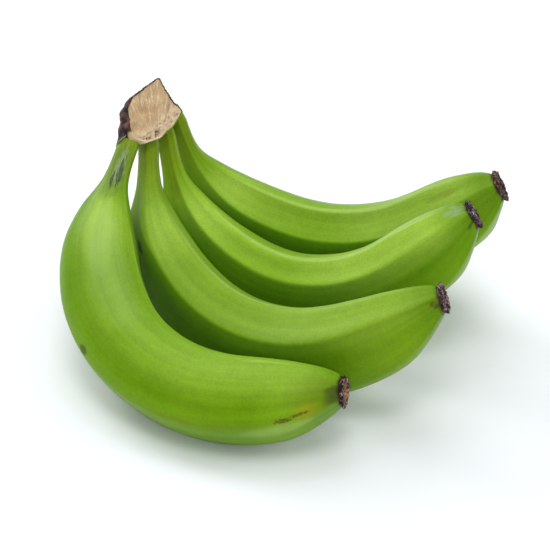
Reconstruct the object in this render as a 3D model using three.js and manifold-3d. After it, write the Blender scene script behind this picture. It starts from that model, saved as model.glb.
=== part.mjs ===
// A hand of four green plantains, still joined at the crown where it was cut from its stalk.
// It lies on the bellies of its fruits, with the crown and the dried blossom ends raised.
// Millimetres and degrees, +Z up. The origin is on the surface, under the middle of the hand.
// Each fruit is a skin lofted along a line that bends in one plane: the plane runs along a heading,
// leans over sideways, and holds a line that dives from the crown and curls up towards the blossom end.
import * as THREE from 'three';
import { mergeVertices } from 'three/addons/utils/BufferGeometryUtils.js';
import Module from 'manifold-3d';

const wasm = await Module();
wasm.setup();

// ---- Driving dimensions ------------------------------------------------------------------------

// From the near side of the hand to the far side. base: where the stalk of the fruit leaves the crown.
// ridges: angles round the section, from the hollow side of the bend. radius: at the thickest place.
// flats: how flat the side after each ridge is: 0 is round, 1 quite flat, and more is hollow.
// shoulder and blunt: how much fuller the fruit is below its stalk and before its blossom end,
// as a share of its girth there.
// endTurn: how far its blossom end faces aside, across the plane that the fruit bends in.
// endDroop: how far its blossom end faces away from the hollow side of the bend.
const FRUITS = [
  {
    base: [-81.6, 51, 89.3], heading: -29, lean: 52, dip: 84,
    neckBend: 14, bodyBend: 73, tipBend: 26,
    length: 235, radius: 22.0, shoulder: 0.055, blunt: 0.01, twist: -8, endTurn: 0, endDroop: 12,
    ridges: [18, 147, 215, 262, 310], flats: [0.5, 0.6, 0.6, 0.6, 0.6],
  },
  {
    base: [-72, 60.5, 83.8], heading: -37, lean: 32, dip: 68,
    neckBend: 28, bodyBend: 63, tipBend: 27,
    length: 239, radius: 23.0, shoulder: 0, blunt: -0.04, twist: 20, endTurn: 12, endDroop: 16,
    ridges: [31, 81, 159, 220, 290], flats: [1.05, 0.85, 0.1, 0.6, 0.7],
  },
  {
    base: [-64, 73, 81.7], heading: -29, lean: 13, dip: 71,
    neckBend: 37, bodyBend: 68, tipBend: 20,
    length: 230, radius: 22.2, shoulder: 0, blunt: 0.11, twist: 32, endTurn: 20, endDroop: 13,
    ridges: [28, 64, 139, 204, 281], flats: [1.1, 0.85, 0.5, 0.6, 0.7],
  },
  {
    base: [-59, 84, 84.5], heading: -22, lean: -12, dip: 79,
    neckBend: 47, bodyBend: 65, tipBend: 16,
    length: 234, radius: 23.5, shoulder: 0, blunt: 0.06, twist: 10, endTurn: 25, endDroop: 20,
    ridges: [7, 50, 122, 190, 260], flats: [1.05, 0.9, 0.6, 0.6, 0.55],
  },
];

// Shares of the length over which each bend eases in.
const BEND_SPANS = { neckBend: [0.02, 0.32], bodyBend: [0.15, 0.80], tipBend: [0.60, 1.00] };

// Share of the length, share of the full radius: stalk, shoulder, belly, taper, blossom end.
const GIRTH = [
  [0, 0.255], [0.05, 0.26], [0.10, 0.335], [0.17, 0.625], [0.25, 0.845], [0.35, 0.955],
  [0.48, 0.995], [0.64, 1.015], [0.80, 0.965], [0.88, 0.865], [0.94, 0.665], [0.98, 0.46],
  [1, 0.30],
];

const SHOULDER_RISE = [0.10, 0.26]; // where a fruit's fuller shoulder comes in
const SHOULDER_FALL = [0.36, 0.62]; // and where it is gone again
const BLUNT_SPAN = [0.72, 0.93];  // where a fruit's bluntness comes in
const END_TURN_SPAN = [0.86, 1];  // where its section turns to face as its end does

const FACET_HALF_ANGLE = 41;      // wider facets than this are not flattened further
const RIDGE_SHARPNESS = 1.06;     // 2 is a soft wave, 1 a sharp edge
const STALK_RIDGING = 0.8;        // the stalk's ridges, as a share of the belly's
const RIDGES_RISE = [0.08, 0.34]; // where the ridges come up to full height

const ROOT = 5;                   // how far a stalk is rooted in the crown
const ROOT_RADIUS = 0.17;         // share of the full radius at the root's end
const CLEARANCE = 0.3;            // between pieces that touch
const SURFACE_BLOCK = [300, 300, 20]; // what the bellies are flattened against, top at zero

// The crown: a cut face in its own plane, and the wedge of rind behind it.
const CUT_CENTRE = [-70.9, 64, 100];
const CUT_NORMAL = [0.55, -0.5, 0.67];
const CUT_OUTLINE = [             // across and up the cut face, counter-clockwise from its peak
  [16, 15], [6, 13.5], [-5.5, 11.5], [-12, 7.5], [-17.5, -4], [-17.5, -8.5],
  [-12, -13], [-3, -14], [9, -11.5], [19, -6.5], [16.5, 0], [16, 7.5],
];
const CROWN_LEAN = [0.62, -0.03];  // sideways run of the wedge for each millimetre of depth
// Depth under the cut face, share of its outline, and a sideways shift across and up the face.
const CROWN_RINGS = [
  { depth: 24, share: 0.30, shift: [0, -5] }, { depth: 20, share: 0.62, shift: [-0.5, -4.5] },
  { depth: 13, share: 0.90, shift: [-1, -4] }, { depth: 6, share: 1.02, shift: [-3, -2] },
  { depth: 1.5, share: 1.03, shift: [-1, -0.5] }, { depth: 0, share: 1, shift: [0, 0] },
];

// The dried blossom end: how far past the fruit, share of the fruit's end radius.
const BLOSSOM_RINGS = [
  [0, 0.80], [0.5, 0.97], [1.4, 1.00], [2.2, 0.90], [2.7, 0.70], [2.0, 0.42],
];
const BLOSSOM_LOBES = 5;          // the stubs of the flower's five outer petals
const BLOSSOM_FOLDS = 3;          // slower, shallower waves that make the lobes uneven
const BLOSSOM_CRUMPLE = 0.10;     // height of the lobes, as a share of the radius
const FOLD_SHARE = 0.5;           // height of the folds, as a share of the lobes'
const LIP_SHARE = 0.2;            // how much a lobe lengthens the cup where it stands out

const BODY_RINGS = 40;
const STALK_RINGS = 7;            // enough of a stalk to shape its socket
const FACET_STEPS = 5;
const CROWN_SIDES = 30;
const BLOSSOM_SIDES = 20;
const CURVE_SUBSTEPS = 6;

const PEEL = { color: '#6f9a22', roughness: 0.45 };
const CUT_FACE = { color: '#c9a877', roughness: 0.85 };
const DRIED = { color: '#4a342c', roughness: 0.9 };

// ---- Small helpers -----------------------------------------------------------------------------

const radians = THREE.MathUtils.degToRad;
const ease = (x, [from, to]) => THREE.MathUtils.smoothstep(x, from, to);

/** Value of a smooth curve through [place, value] knots, flat past its ends. */
function through(knots, place) {
  const last = knots.length - 1;
  const at = THREE.MathUtils.clamp(place, knots[0][0], knots[last][0]);
  let i = 0;
  while (i < last - 1 && at > knots[i + 1][0]) i += 1;
  const slope = (k) => {
    const before = knots[Math.max(k - 1, 0)];
    const after = knots[Math.min(k + 1, last)];
    return (after[1] - before[1]) / (after[0] - before[0]);
  };
  const [x0, y0] = knots[i];
  const [x1, y1] = knots[i + 1];
  const span = x1 - x0;
  const u = (at - x0) / span;
  const v = 1 - u;
  return y0 * v * v * (1 + 2 * u) + y1 * u * u * (3 - 2 * u)
    + span * u * v * (slope(i) * v - slope(i + 1) * u);
}

/** A closed skin over rings of points, which run counter-clockwise seen from the last ring. */
function loft(rings) {
  const sides = rings[0].length;
  const positions = rings.flat();
  const faces = [];
  for (let ring = 0; ring < rings.length - 1; ring += 1) {
    for (let side = 0; side < sides; side += 1) {
      const next = (side + 1) % sides;
      const a = ring * sides + side;
      const b = ring * sides + next;
      faces.push(a, b, b + sides, a, b + sides, a + sides);
    }
  }
  const closeEnd = (ring, facesForward) => {
    const centre = rings[ring].reduce((sum, p) => sum.add(p), new THREE.Vector3());
    const tip = positions.push(centre.divideScalar(sides)) - 1;
    for (let side = 0; side < sides; side += 1) {
      const a = ring * sides + side;
      const b = ring * sides + (side + 1) % sides;
      faces.push(tip, ...(facesForward ? [a, b] : [b, a]));
    }
  };
  closeEnd(0, false);
  closeEnd(rings.length - 1, true);
  const geometry = new THREE.BufferGeometry().setFromPoints(positions);
  geometry.setIndex(faces);
  geometry.computeVertexNormals();
  return geometry;
}

/** A solid that manifold-3d can join or cut. */
function toSolid(geometry) {
  const bare = geometry.clone();
  bare.deleteAttribute('normal');
  const merged = mergeVertices(bare);
  return new wasm.Manifold(new wasm.Mesh({
    numProp: 3,
    vertProperties: new Float32Array(merged.attributes.position.array),
    triVerts: new Uint32Array(merged.index.array),
  }));
}

function fromSolid(solid) {
  const mesh = solid.getMesh();
  const geometry = new THREE.BufferGeometry();
  geometry.setAttribute('position', new THREE.BufferAttribute(mesh.vertProperties, 3));
  geometry.setIndex(new THREE.BufferAttribute(mesh.triVerts, 1));
  geometry.computeVertexNormals();
  return geometry;
}

function named(name, geometry, finish) {
  const material = new THREE.MeshStandardMaterial({ ...finish, metalness: 0 });
  const mesh = new THREE.Mesh(geometry, material);
  mesh.name = name;
  return mesh;
}

// ---- Fruits ------------------------------------------------------------------------------------

/** The plane that a fruit bends in: along its heading, up in the plane, and square to both. */
function bendPlane({ heading, lean }) {
  const along = new THREE.Vector3(Math.cos(radians(heading)), Math.sin(radians(heading)), 0);
  const left = new THREE.Vector3(-along.y, along.x, 0);
  const up = left.multiplyScalar(Math.sin(radians(lean)));
  up.z = Math.cos(radians(lean));
  return { along, up, across: new THREE.Vector3().crossVectors(along, up) };
}

/** Directions at a share of the length: forwards, to the hollow side, and across the plane. */
function directions(fruit, share) {
  const { along, up, across } = bendPlane(fruit);
  let slope = -fruit.dip;
  for (const [bend, span] of Object.entries(BEND_SPANS)) slope += fruit[bend] * ease(share, span);
  const forward = along.clone().multiplyScalar(Math.cos(radians(slope)));
  forward.addScaledVector(up, Math.sin(radians(slope)));
  const inward = new THREE.Vector3().crossVectors(across, forward);
  return { forward, inward, across };
}

/** Points of the centre line at each share of the length, by small straight steps. */
function centreLine(fruit, shares) {
  const point = new THREE.Vector3(...fruit.base);
  const points = [point.clone()];
  for (let i = 1; i < shares.length; i += 1) {
    const step = (shares[i] - shares[i - 1]) / CURVE_SUBSTEPS;
    for (let k = 0; k < CURVE_SUBSTEPS; k += 1) {
      const middle = shares[i - 1] + (k + 0.5) * step;
      point.addScaledVector(directions(fruit, middle).forward, step * fruit.length);
    }
    points.push(point.clone());
  }
  return points;
}

/** Angle and height of each point round the section, with corners at the ridges. */
function sectionPoints({ ridges, flats }) {
  const points = [];
  ridges.forEach((ridge, k) => {
    const next = k + 1 < ridges.length ? ridges[k + 1] : ridges[0] + 360;
    const halfAngle = Math.min((next - ridge) / 2, FACET_HALF_ANGLE);
    const hollow = flats[k] * (1 - Math.cos(radians(halfAngle)));
    for (let step = 0; step < FACET_STEPS; step += 1) {
      const share = step / FACET_STEPS;
      points.push({
        angle: radians(ridge + (next - ridge) * share),
        drop: hollow * Math.sin(Math.PI * share) ** RIDGE_SHARPNESS,
      });
    }
  });
  return points;
}

/** Radius at a share of the length, between the ridges and the flats. */
function girth(fruit, share) {
  const shoulder = fruit.shoulder * ease(share, SHOULDER_RISE) * (1 - ease(share, SHOULDER_FALL));
  const blunt = fruit.blunt * ease(share, BLUNT_SPAN);
  return fruit.radius * through(GIRTH, share) * (1 + shoulder + blunt);
}

/** The way that a section of a fruit faces, and its own axes. */
function section(fruit, share) {
  const { forward, inward, across } = directions(fruit, share);
  const turning = ease(share, END_TURN_SPAN);
  const turn = radians(fruit.endTurn) * turning;
  const droop = radians(fruit.endDroop) * turning;
  const side = across.clone().multiplyScalar(Math.cos(turn)).addScaledVector(forward, Math.sin(turn));
  const ahead = new THREE.Vector3().crossVectors(inward, side);
  inward.multiplyScalar(Math.cos(droop)).addScaledVector(ahead, Math.sin(droop));
  return { facing: new THREE.Vector3().crossVectors(inward, side), inward, side };
}

/** One ring of skin round a point of the centre line; grown outwards by a clearance if asked. */
function skinRing(fruit, share, centre, radius, grow) {
  const { inward, side } = section(fruit, share);
  const ridging = STALK_RIDGING + (1 - STALK_RIDGING) * ease(share, RIDGES_RISE);
  const turn = radians(fruit.twist) * (share - 0.5);
  return sectionPoints(fruit).map(({ angle, drop }) => {
    const reach = radius * (1 - drop * ridging) + grow;
    return centre.clone()
      .addScaledVector(inward, reach * Math.cos(angle + turn))
      .addScaledVector(side, reach * Math.sin(angle + turn));
  });
}

/** The rings of a fruit from the root of its stalk over the given shares of its length. */
function skinRings(fruit, shares, grow = 0) {
  const points = centreLine(fruit, shares);
  const rings = shares.map((share, i) => (
    skinRing(fruit, share, points[i], girth(fruit, share), grow)
  ));
  const back = directions(fruit, 0).forward.negate();
  const rootEnd = points[0].clone().addScaledVector(back, ROOT + grow);
  return [skinRing(fruit, 0, rootEnd, ROOT_RADIUS * fruit.radius, grow), ...rings];
}

const bodyShares = Array.from({ length: BODY_RINGS + 1 }, (_, i) => i / BODY_RINGS);
const stalkShares = bodyShares.slice(0, STALK_RINGS);

/** A whole fruit, with a small flat where its belly presses on the surface. */
function fruitBody(fruit) {
  const surface = new THREE.BoxGeometry(...SURFACE_BLOCK);
  surface.translate(0, 0, -SURFACE_BLOCK[2] / 2);
  surface.deleteAttribute('uv');
  return fromSolid(toSolid(loft(skinRings(fruit, bodyShares))).subtract(toSolid(surface)));
}

/** The dried remains of the flower: a crumpled, lobed cup just past the end of the fruit. */
function blossomEnd(fruit, index) {
  const centre = centreLine(fruit, bodyShares).at(-1);
  const { facing, inward, side } = section(fruit, 1);
  const endRadius = girth(fruit, 1);
  const rings = BLOSSOM_RINGS.map(([past, share]) => (
    Array.from({ length: BLOSSOM_SIDES }, (_, step) => {
      const angle = (2 * Math.PI * step) / BLOSSOM_SIDES;
      const lobes = Math.cos(BLOSSOM_LOBES * angle + index);
      const folds = Math.sin(BLOSSOM_FOLDS * angle - index);
      const crumple = lobes + FOLD_SHARE * folds;
      const reach = endRadius * share * (1 + BLOSSOM_CRUMPLE * crumple);
      const lift = CLEARANCE + past * (1 + LIP_SHARE * crumple);
      return centre.clone()
        .addScaledVector(facing, lift)
        .addScaledVector(inward, reach * Math.cos(angle))
        .addScaledVector(side, reach * Math.sin(angle));
    })
  ));
  return loft(rings);
}

// ---- Crown -------------------------------------------------------------------------------------

/** The wedge that the stalks grow out of, with a socket for the root of each. */
function crownWedge() {
  const normal = new THREE.Vector3(...CUT_NORMAL).normalize();
  const sideways = new THREE.Vector3(0, 0, 1).cross(normal).normalize();
  const upwards = new THREE.Vector3().crossVectors(normal, sideways);
  const outline = new THREE.Shape(CUT_OUTLINE.map(([x, y]) => new THREE.Vector2(x, y)));
  outline.closePath();
  const corners = outline.getSpacedPoints(CROWN_SIDES).slice(0, CROWN_SIDES);
  const rings = CROWN_RINGS.map(({ depth, share, shift }) => corners.map((corner) => (
    new THREE.Vector3(...CUT_CENTRE)
      .addScaledVector(normal, -depth)
      .addScaledVector(sideways, corner.x * share + shift[0] + CROWN_LEAN[0] * depth)
      .addScaledVector(upwards, corner.y * share + shift[1] + CROWN_LEAN[1] * depth)
  )));
  let wedge = toSolid(loft(rings));
  for (const fruit of FRUITS) {
    wedge = wedge.subtract(toSolid(loft(skinRings(fruit, stalkShares, CLEARANCE))));
  }
  return fromSolid(wedge);
}

// ---- The hand ----------------------------------------------------------------------------------

const hand = new THREE.Group();
hand.add(named('crown', crownWedge(), CUT_FACE));
FRUITS.forEach((fruit, index) => {
  hand.add(named(`finger_${index + 1}`, fruitBody(fruit), PEEL));
  hand.add(named(`tip_${index + 1}`, blossomEnd(fruit, index), DRIED));
});

export default hand;
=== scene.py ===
"""A hand of four green plantains, dressed on a white studio floor.

The fruits, the crown that they hang together by and the dried ends of their flowers are rebuilt in
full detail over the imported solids, from the same sizes. Lengths are metres and angles are degrees,
+Z is up, and the origin is on the floor under the middle of the hand.
"""

from __future__ import annotations

import logging
import math
from dataclasses import dataclass
from enum import Enum
from typing import List, Mapping, Optional, Sequence, Tuple, Union

import bpy
from mathutils import Matrix, Vector, noise


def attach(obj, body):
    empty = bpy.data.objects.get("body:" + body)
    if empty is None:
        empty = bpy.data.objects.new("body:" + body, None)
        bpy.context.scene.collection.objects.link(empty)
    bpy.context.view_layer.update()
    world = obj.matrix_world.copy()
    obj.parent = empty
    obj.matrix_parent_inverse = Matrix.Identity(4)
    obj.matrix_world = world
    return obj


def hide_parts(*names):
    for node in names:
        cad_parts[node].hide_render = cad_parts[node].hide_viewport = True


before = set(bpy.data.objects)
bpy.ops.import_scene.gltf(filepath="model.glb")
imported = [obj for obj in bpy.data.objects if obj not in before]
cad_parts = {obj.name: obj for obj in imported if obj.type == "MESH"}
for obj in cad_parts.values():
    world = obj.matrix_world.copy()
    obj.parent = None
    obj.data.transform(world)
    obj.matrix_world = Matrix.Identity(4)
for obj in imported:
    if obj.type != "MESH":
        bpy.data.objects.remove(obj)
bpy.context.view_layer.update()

LOG = logging.getLogger("plantains")
BODY = "root"

Triple = Tuple[float, float, float]
Pair = Tuple[float, float]
Band = Tuple[float, float, float, float]
RingPoint = Tuple[Triple, Triple]
Ring = List[RingPoint]


# ---- Numbers ---------------------------------------------------------------------------------


def ease(value: float, span: Pair) -> float:
    """Smooth step from 0 before the span to 1 after it.

    Args:
        value: Where to look.
        span: Where the step starts and ends.

    Returns:
        The height of the step, from 0 to 1.
    """
    share = min(max((value - span[0]) / (span[1] - span[0]), 0.0), 1.0)
    return share * share * (3 - 2 * share)


def through(knots: Sequence[Pair], place: float) -> float:
    """Value of a smooth curve through knots, flat past its ends.

    Args:
        knots: Places and their values, in order.
        place: Where to look.

    Returns:
        The value of the curve there.
    """
    last = len(knots) - 1
    at = min(max(place, knots[0][0]), knots[last][0])
    i = next((k for k in range(last) if at <= knots[k + 1][0]), last - 1)

    def slope(k: int) -> float:
        """Slope of the curve at a knot, from its neighbours."""
        before, after = knots[max(k - 1, 0)], knots[min(k + 1, last)]
        return (after[1] - before[1]) / (after[0] - before[0])

    (x0, y0), (x1, y1) = knots[i], knots[i + 1]
    span = x1 - x0
    u = (at - x0) / span
    v = 1 - u
    ends = y0 * v * v * (1 + 2 * u) + y1 * u * u * (3 - 2 * u)
    return ends + span * u * v * (slope(i) * v - slope(i + 1) * u)


def flutter(x: float, y: float, z: float) -> float:
    """Soft noise from -1 to 1 at a place."""
    return noise.noise(Vector((x, y, z)))


def off_line(place: Pair, start: Pair, end: Pair) -> Pair:
    """How far a place is from a straight line, and where on the line it is nearest.

    Args:
        place: Where to look.
        start: One end of the line.
        end: Its other end.

    Returns:
        The distance, and the nearest point as a share of the line.
    """
    here, first = Vector(place), Vector(start)
    run = Vector(end) - first
    share = min(max((here - first).dot(run) / run.length_squared, 0.0), 1.0)
    return (here - first - run * share).length, share


# ---- Node graphs -----------------------------------------------------------------------------


@dataclass(frozen=True)
class Term:
    """An output of a node, with arithmetic written in the usual way."""

    graph: "Graph"
    socket: bpy.types.NodeSocket

    def other(self, name: str) -> "Term":
        """Another output of the node that gives this one."""
        return Term(self.graph, self.graph.pick(self.socket.node.outputs, name))

    def __add__(self, other: "Feed") -> "Term":
        """Sum."""
        return self.graph.arithmetic("ADD", self, other)

    def __radd__(self, other: "Feed") -> "Term":
        """Sum, with a plain number first."""
        return self.graph.arithmetic("ADD", other, self)

    def __sub__(self, other: "Feed") -> "Term":
        """Difference."""
        return self.graph.arithmetic("SUBTRACT", self, other)

    def __rsub__(self, other: "Feed") -> "Term":
        """Difference, with a plain number first."""
        return self.graph.arithmetic("SUBTRACT", other, self)

    def __mul__(self, other: "Feed") -> "Term":
        """Product."""
        return self.graph.arithmetic("MULTIPLY", self, other)

    def __rmul__(self, other: "Feed") -> "Term":
        """Product, with a plain number first."""
        return self.graph.arithmetic("MULTIPLY", other, self)

    def __truediv__(self, other: "Feed") -> "Term":
        """Quotient."""
        return self.graph.arithmetic("DIVIDE", self, other)

    def __rtruediv__(self, other: "Feed") -> "Term":
        """Quotient, with a plain number first."""
        return self.graph.arithmetic("DIVIDE", other, self)

    def __pow__(self, power: "Feed") -> "Term":
        """Power."""
        return self.graph.math("POWER", self, power)


Feed = Union[Term, float, int, str, Tuple[float, ...], bpy.types.Material]
Inputs = Mapping[Union[str, int], Feed]


class Graph:
    """Adds nodes to a geometry or shader tree and wires them up."""

    def __init__(self, tree: bpy.types.NodeTree) -> None:
        """Starts on a tree that may be empty.

        Args:
            tree: The tree that the nodes go into.
        """
        self.tree = tree
        self.entry: Optional[bpy.types.Node] = None

    @classmethod
    def geometry(cls, name: str, inputs: Mapping[str, str]) -> "Graph":
        """A new geometry tree with named inputs.

        Args:
            name: The tree's name.
            inputs: The name of each input and its kind of socket, such as Float.

        Returns:
            The graph of the new tree.
        """
        graph = cls(bpy.data.node_groups.new(name, "GeometryNodeTree"))
        face = graph.tree.interface
        face.new_socket("Geometry", in_out="OUTPUT", socket_type="NodeSocketGeometry")
        for label, kind in inputs.items():
            face.new_socket(label, in_out="INPUT", socket_type=f"NodeSocket{kind}")
        graph.entry = graph.tree.nodes.new("NodeGroupInput")
        return graph

    @classmethod
    def shader(cls, name: str) -> Tuple["Graph", bpy.types.Material]:
        """A new material with an empty shader tree.

        Args:
            name: The material's name.

        Returns:
            The graph of its tree, and the material.
        """
        material = bpy.data.materials.new(name)
        material.use_nodes = True
        material.node_tree.nodes.clear()
        return cls(material.node_tree), material

    @staticmethod
    def pick(sockets: Sequence[bpy.types.NodeSocket], key: Union[str, int]) -> bpy.types.NodeSocket:
        """The socket in use with that name, or at that index.

        Args:
            sockets: A node's inputs or outputs.
            key: A name or an index.

        Returns:
            The socket.
        """
        if isinstance(key, int):
            return sockets[key]
        return next(s for s in sockets if s.enabled and s.name == key)

    def feed(self, socket: bpy.types.NodeSocket, value: Feed) -> None:
        """Wires a term to a socket, or sets its own value.

        Args:
            socket: The input to feed.
            value: A term, number, vector, colour, text or material.
        """
        if isinstance(value, Term):
            self.tree.links.new(value.socket, socket)
        elif socket.type == "RGBA" and len(value) == 3:
            socket.default_value = (*value, 1.0)
        else:
            socket.default_value = value

    def node(self, kind: str, inputs: Inputs, **settings: object) -> bpy.types.Node:
        """Adds a node.

        Args:
            kind: Blender's name for the kind of node.
            inputs: What feeds its inputs, by name or index.
            **settings: Its other properties.

        Returns:
            The new node.
        """
        made = self.tree.nodes.new(kind)
        for name, value in settings.items():
            setattr(made, name, value)
        for key, value in inputs.items():
            self.feed(self.pick(made.inputs, key), value)
        return made

    def make(
        self, kind: str, inputs: Inputs, output: Optional[str] = None, **settings: object
    ) -> Term:
        """Adds a node and gives one of its outputs.

        Args:
            kind: Blender's name for the kind of node.
            inputs: What feeds its inputs, by name or index.
            output: The output's name, or None for the first in use.
            **settings: Its other properties.

        Returns:
            The output as a term.
        """
        outputs = self.node(kind, inputs, **settings).outputs
        found = self.pick(outputs, output) if output else next(s for s in outputs if s.enabled)
        return Term(self, found)

    def given(self, name: str) -> Term:
        """One of the tree's own inputs."""
        return Term(self, self.entry.outputs[name])

    def math(self, operation: str, *values: Feed) -> Term:
        """A math node's result."""
        return self.make("ShaderNodeMath", dict(enumerate(values)), operation=operation)

    def vector(self, operation: str, *values: Feed) -> Term:
        """A vector math node's result."""
        return self.make("ShaderNodeVectorMath", dict(enumerate(values)), operation=operation)

    def arithmetic(self, operation: str, left: Feed, right: Feed) -> Term:
        """One step of arithmetic on numbers, on vectors, or on one of each.

        Args:
            operation: ADD, SUBTRACT, MULTIPLY or DIVIDE.
            left: The first number or vector.
            right: The second.

        Returns:
            The result as a term.
        """
        wide = [self.is_vector(value) for value in (left, right)]
        if not any(wide):
            return self.math(operation, left, right)
        if operation == "MULTIPLY" and not all(wide):
            arrow, scale = (left, right) if wide[0] else (right, left)
            return self.make("ShaderNodeVectorMath", {0: arrow, "Scale": scale}, operation="SCALE")
        return self.vector(operation, left, right)

    @staticmethod
    def is_vector(value: Feed) -> bool:
        """Whether a value is a vector and not a number.

        Args:
            value: A term, a number or a vector.

        Returns:
            Whether it has three parts.
        """
        if isinstance(value, Term):
            return value.socket.type == "VECTOR"
        return isinstance(value, (tuple, Vector))

    def xyz(self, x: Feed, y: Feed, z: Feed) -> Term:
        """A vector from its three parts."""
        return self.make("ShaderNodeCombineXYZ", {0: x, 1: y, 2: z})

    def around(self, angle: Term, height: Feed) -> Term:
        """A place on a ring of radius 1, at a height."""
        return self.xyz(self.math("COSINE", angle), self.math("SINE", angle), height)

    def parts(self, arrow: Term) -> Tuple[Term, Term, Term]:
        """The three parts of a vector."""
        split = self.make("ShaderNodeSeparateXYZ", {0: arrow})
        return split, split.other("Y"), split.other("Z")

    def rise(self, value: Feed, low: Feed, high: Feed) -> Term:
        """0 below the low value, 1 above the high one, and a smooth step between them.

        Args:
            value: The number that is looked at.
            low: Where the step starts.
            high: Where the step ends, which may be the lower number.

        Returns:
            The height of the step as a term.
        """
        inputs = {"Value": value, "From Min": low, "From Max": high}
        return self.make(
            "ShaderNodeMapRange", inputs, interpolation_type="SMOOTHSTEP", clamp=True
        )

    def band(self, value: Term, edges: Band) -> Term:
        """1 between the inner two of four edges, 0 outside the outer two, and smooth steps."""
        return self.rise(value, edges[0], edges[1]) * self.rise(value, edges[3], edges[2])

    def curve(self, place: Term, knots: Sequence[Pair], count: int, span: Pair) -> Term:
        """A smooth curve through knots, as a node.

        Args:
            place: Where to look, from 0 to 1.
            knots: Places and their values, in order.
            count: How many stretches the node draws the curve in.
            span: A number below all the values and one above them.

        Returns:
            The value of the curve as a term.
        """
        low, reach = span[0], span[1] - span[0]
        node = self.node("ShaderNodeFloatCurve", {"Value": place})
        points = node.mapping.curves[0].points
        for k in range(1, count):
            points.new(k / count, 0.0)
        for point in points:
            point.location.y = (through(knots, point.location.x) - low) / reach
        node.mapping.update()
        return Term(self, node.outputs[0]) * reach + low

    def noise(self, place: Term, scale: float, layers: float, seed: Feed) -> Term:
        """Soft noise from 0 to 1.

        Args:
            place: Where to look, in metres.
            scale: Lumps to the metre.
            layers: How many finer layers are added.
            seed: Picks one pattern of many.

        Returns:
            The noise as a term.
        """
        inputs = {"Vector": place, "W": seed, "Scale": scale, "Detail": layers}
        return self.make("ShaderNodeTexNoise", inputs, noise_dimensions="4D")

    def scatter(self, place: Term, scale: float, seed: float) -> Term:
        """Distance to the nearest of many scattered points; its Color is random to each point."""
        inputs = {"Vector": place, "W": seed, "Scale": scale}
        return self.make("ShaderNodeTexVoronoi", inputs, voronoi_dimensions="4D")

    @staticmethod
    def uneven(level: Feed, patterns: Sequence[Term], strengths: Sequence[float]) -> Term:
        """A level that patterns lift and lower.

        Args:
            level: The level without them.
            patterns: Terms from 0 to 1.
            strengths: How much each of them matters.

        Returns:
            The uneven level as a term.
        """
        for pattern, strength in zip(patterns, strengths):
            level = level + (pattern - 0.5) * strength
        return level

    def blend(self, share: Feed, first: Feed, second: Feed) -> Term:
        """A colour part of the way from one to another.

        Args:
            share: How much of the second there is.
            first: The first colour.
            second: The second colour.

        Returns:
            The colour as a term.
        """
        inputs = {"Factor": share, "A": first, "B": second}
        return self.make("ShaderNodeMix", inputs, data_type="RGBA")

    def lit(self, colour: Term, light: Term) -> Term:
        """A colour made lighter or darker."""
        return self.vector("MULTIPLY", colour, self.xyz(light, light, light))

    def stored(self, name: str, output: str = "Vector") -> Term:
        """What a shape keeps on its points under a name, for its finish to follow."""
        return self.make("ShaderNodeAttribute", {}, output, attribute_name=name)

    def store(
        self, shape: Term, name: str, value: Term, kind: str = "FLOAT_VECTOR", on: str = "POINT"
    ) -> Term:
        """Keeps a value on a shape, for its finish to follow.

        Args:
            shape: The shape.
            name: What the value is called.
            value: The value.
            kind: Blender's name for its kind.
            on: Blender's name for what it is kept on.

        Returns:
            The shape with the value.
        """
        inputs = {"Geometry": shape, "Name": name, "Value": value}
        return self.make("GeometryNodeStoreNamedAttribute", inputs, data_type=kind, domain=on)

    def tube(self, sides: Feed, rings: Feed) -> Term:
        """A closed tube of radius 1 and length 1."""
        inputs = {"Vertices": sides, "Side Segments": rings, "Radius": 1.0, "Depth": 1.0}
        return self.make("GeometryNodeMeshCylinder", inputs, fill_type="TRIANGLE_FAN")

    def sprig(self, sides: int, stretches: int, point: float, curl: Pair) -> Term:
        """A strand of length 1 that narrows and curls aside as it rises.

        Args:
            sides: How many sides it has.
            stretches: How many stretches there are up its length.
            point: How wide it is at its top, where it is 1 at its foot.
            curl: How far its top curls aside each way.

        Returns:
            The strand.
        """
        inputs = {
            "Vertices": sides, "Side Segments": stretches, "Radius Top": point,
            "Radius Bottom": 1.0, "Depth": 1.0,
        }
        cone = self.make("GeometryNodeMeshCone", inputs, "Mesh")
        _, _, height = self.parts(self.make("GeometryNodeInputPosition", {}))
        aside = self.xyz(*(height * height * reach for reach in curl), 0.0)
        return self.make("GeometryNodeSetPosition", {"Geometry": cone, "Offset": aside})

    def join(self, *shapes: Term) -> Term:
        """Several shapes as one.

        Args:
            *shapes: The shapes, of which the last one's points come first.

        Returns:
            The joined shape.
        """
        joined = self.node("GeometryNodeJoinGeometry", {})
        for shape in shapes:
            self.tree.links.new(shape.socket, joined.inputs[0])
        return Term(self, joined.outputs[0])

    def deliver(self, shape: Term, skin: Term) -> bpy.types.NodeTree:
        """Ends a geometry tree with real faces in one material.

        Args:
            shape: The geometry to give.
            skin: The material to give it.

        Returns:
            The finished tree.
        """
        real = self.make("GeometryNodeRealizeInstances", {"Geometry": shape})
        dressed = self.make("GeometryNodeSetMaterial", {"Geometry": real, "Material": skin})
        self.node("NodeGroupOutput", {"Geometry": dressed})
        return self.tree

    def coat(self, colour: Term, roughness: Feed, bumps: Term, gloss: "Gloss") -> None:
        """Ends a material in one surface with small bumps.

        Args:
            colour: Its colour.
            roughness: How dull it is, from 0 to 1.
            bumps: How high its bumps are.
            gloss: How it shines.
        """
        inputs = {"Height": bumps, "Strength": gloss.bump, "Distance": gloss.depth}
        look = {
            "Base Color": colour, "Roughness": roughness, "IOR": gloss.density,
            "Specular IOR Level": gloss.shine, "Specular Tint": gloss.tint,
            "Normal": self.make("ShaderNodeBump", inputs),
        }
        surface = self.make("ShaderNodeBsdfPrincipled", look)
        self.node("ShaderNodeOutputMaterial", {"Surface": surface})


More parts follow.
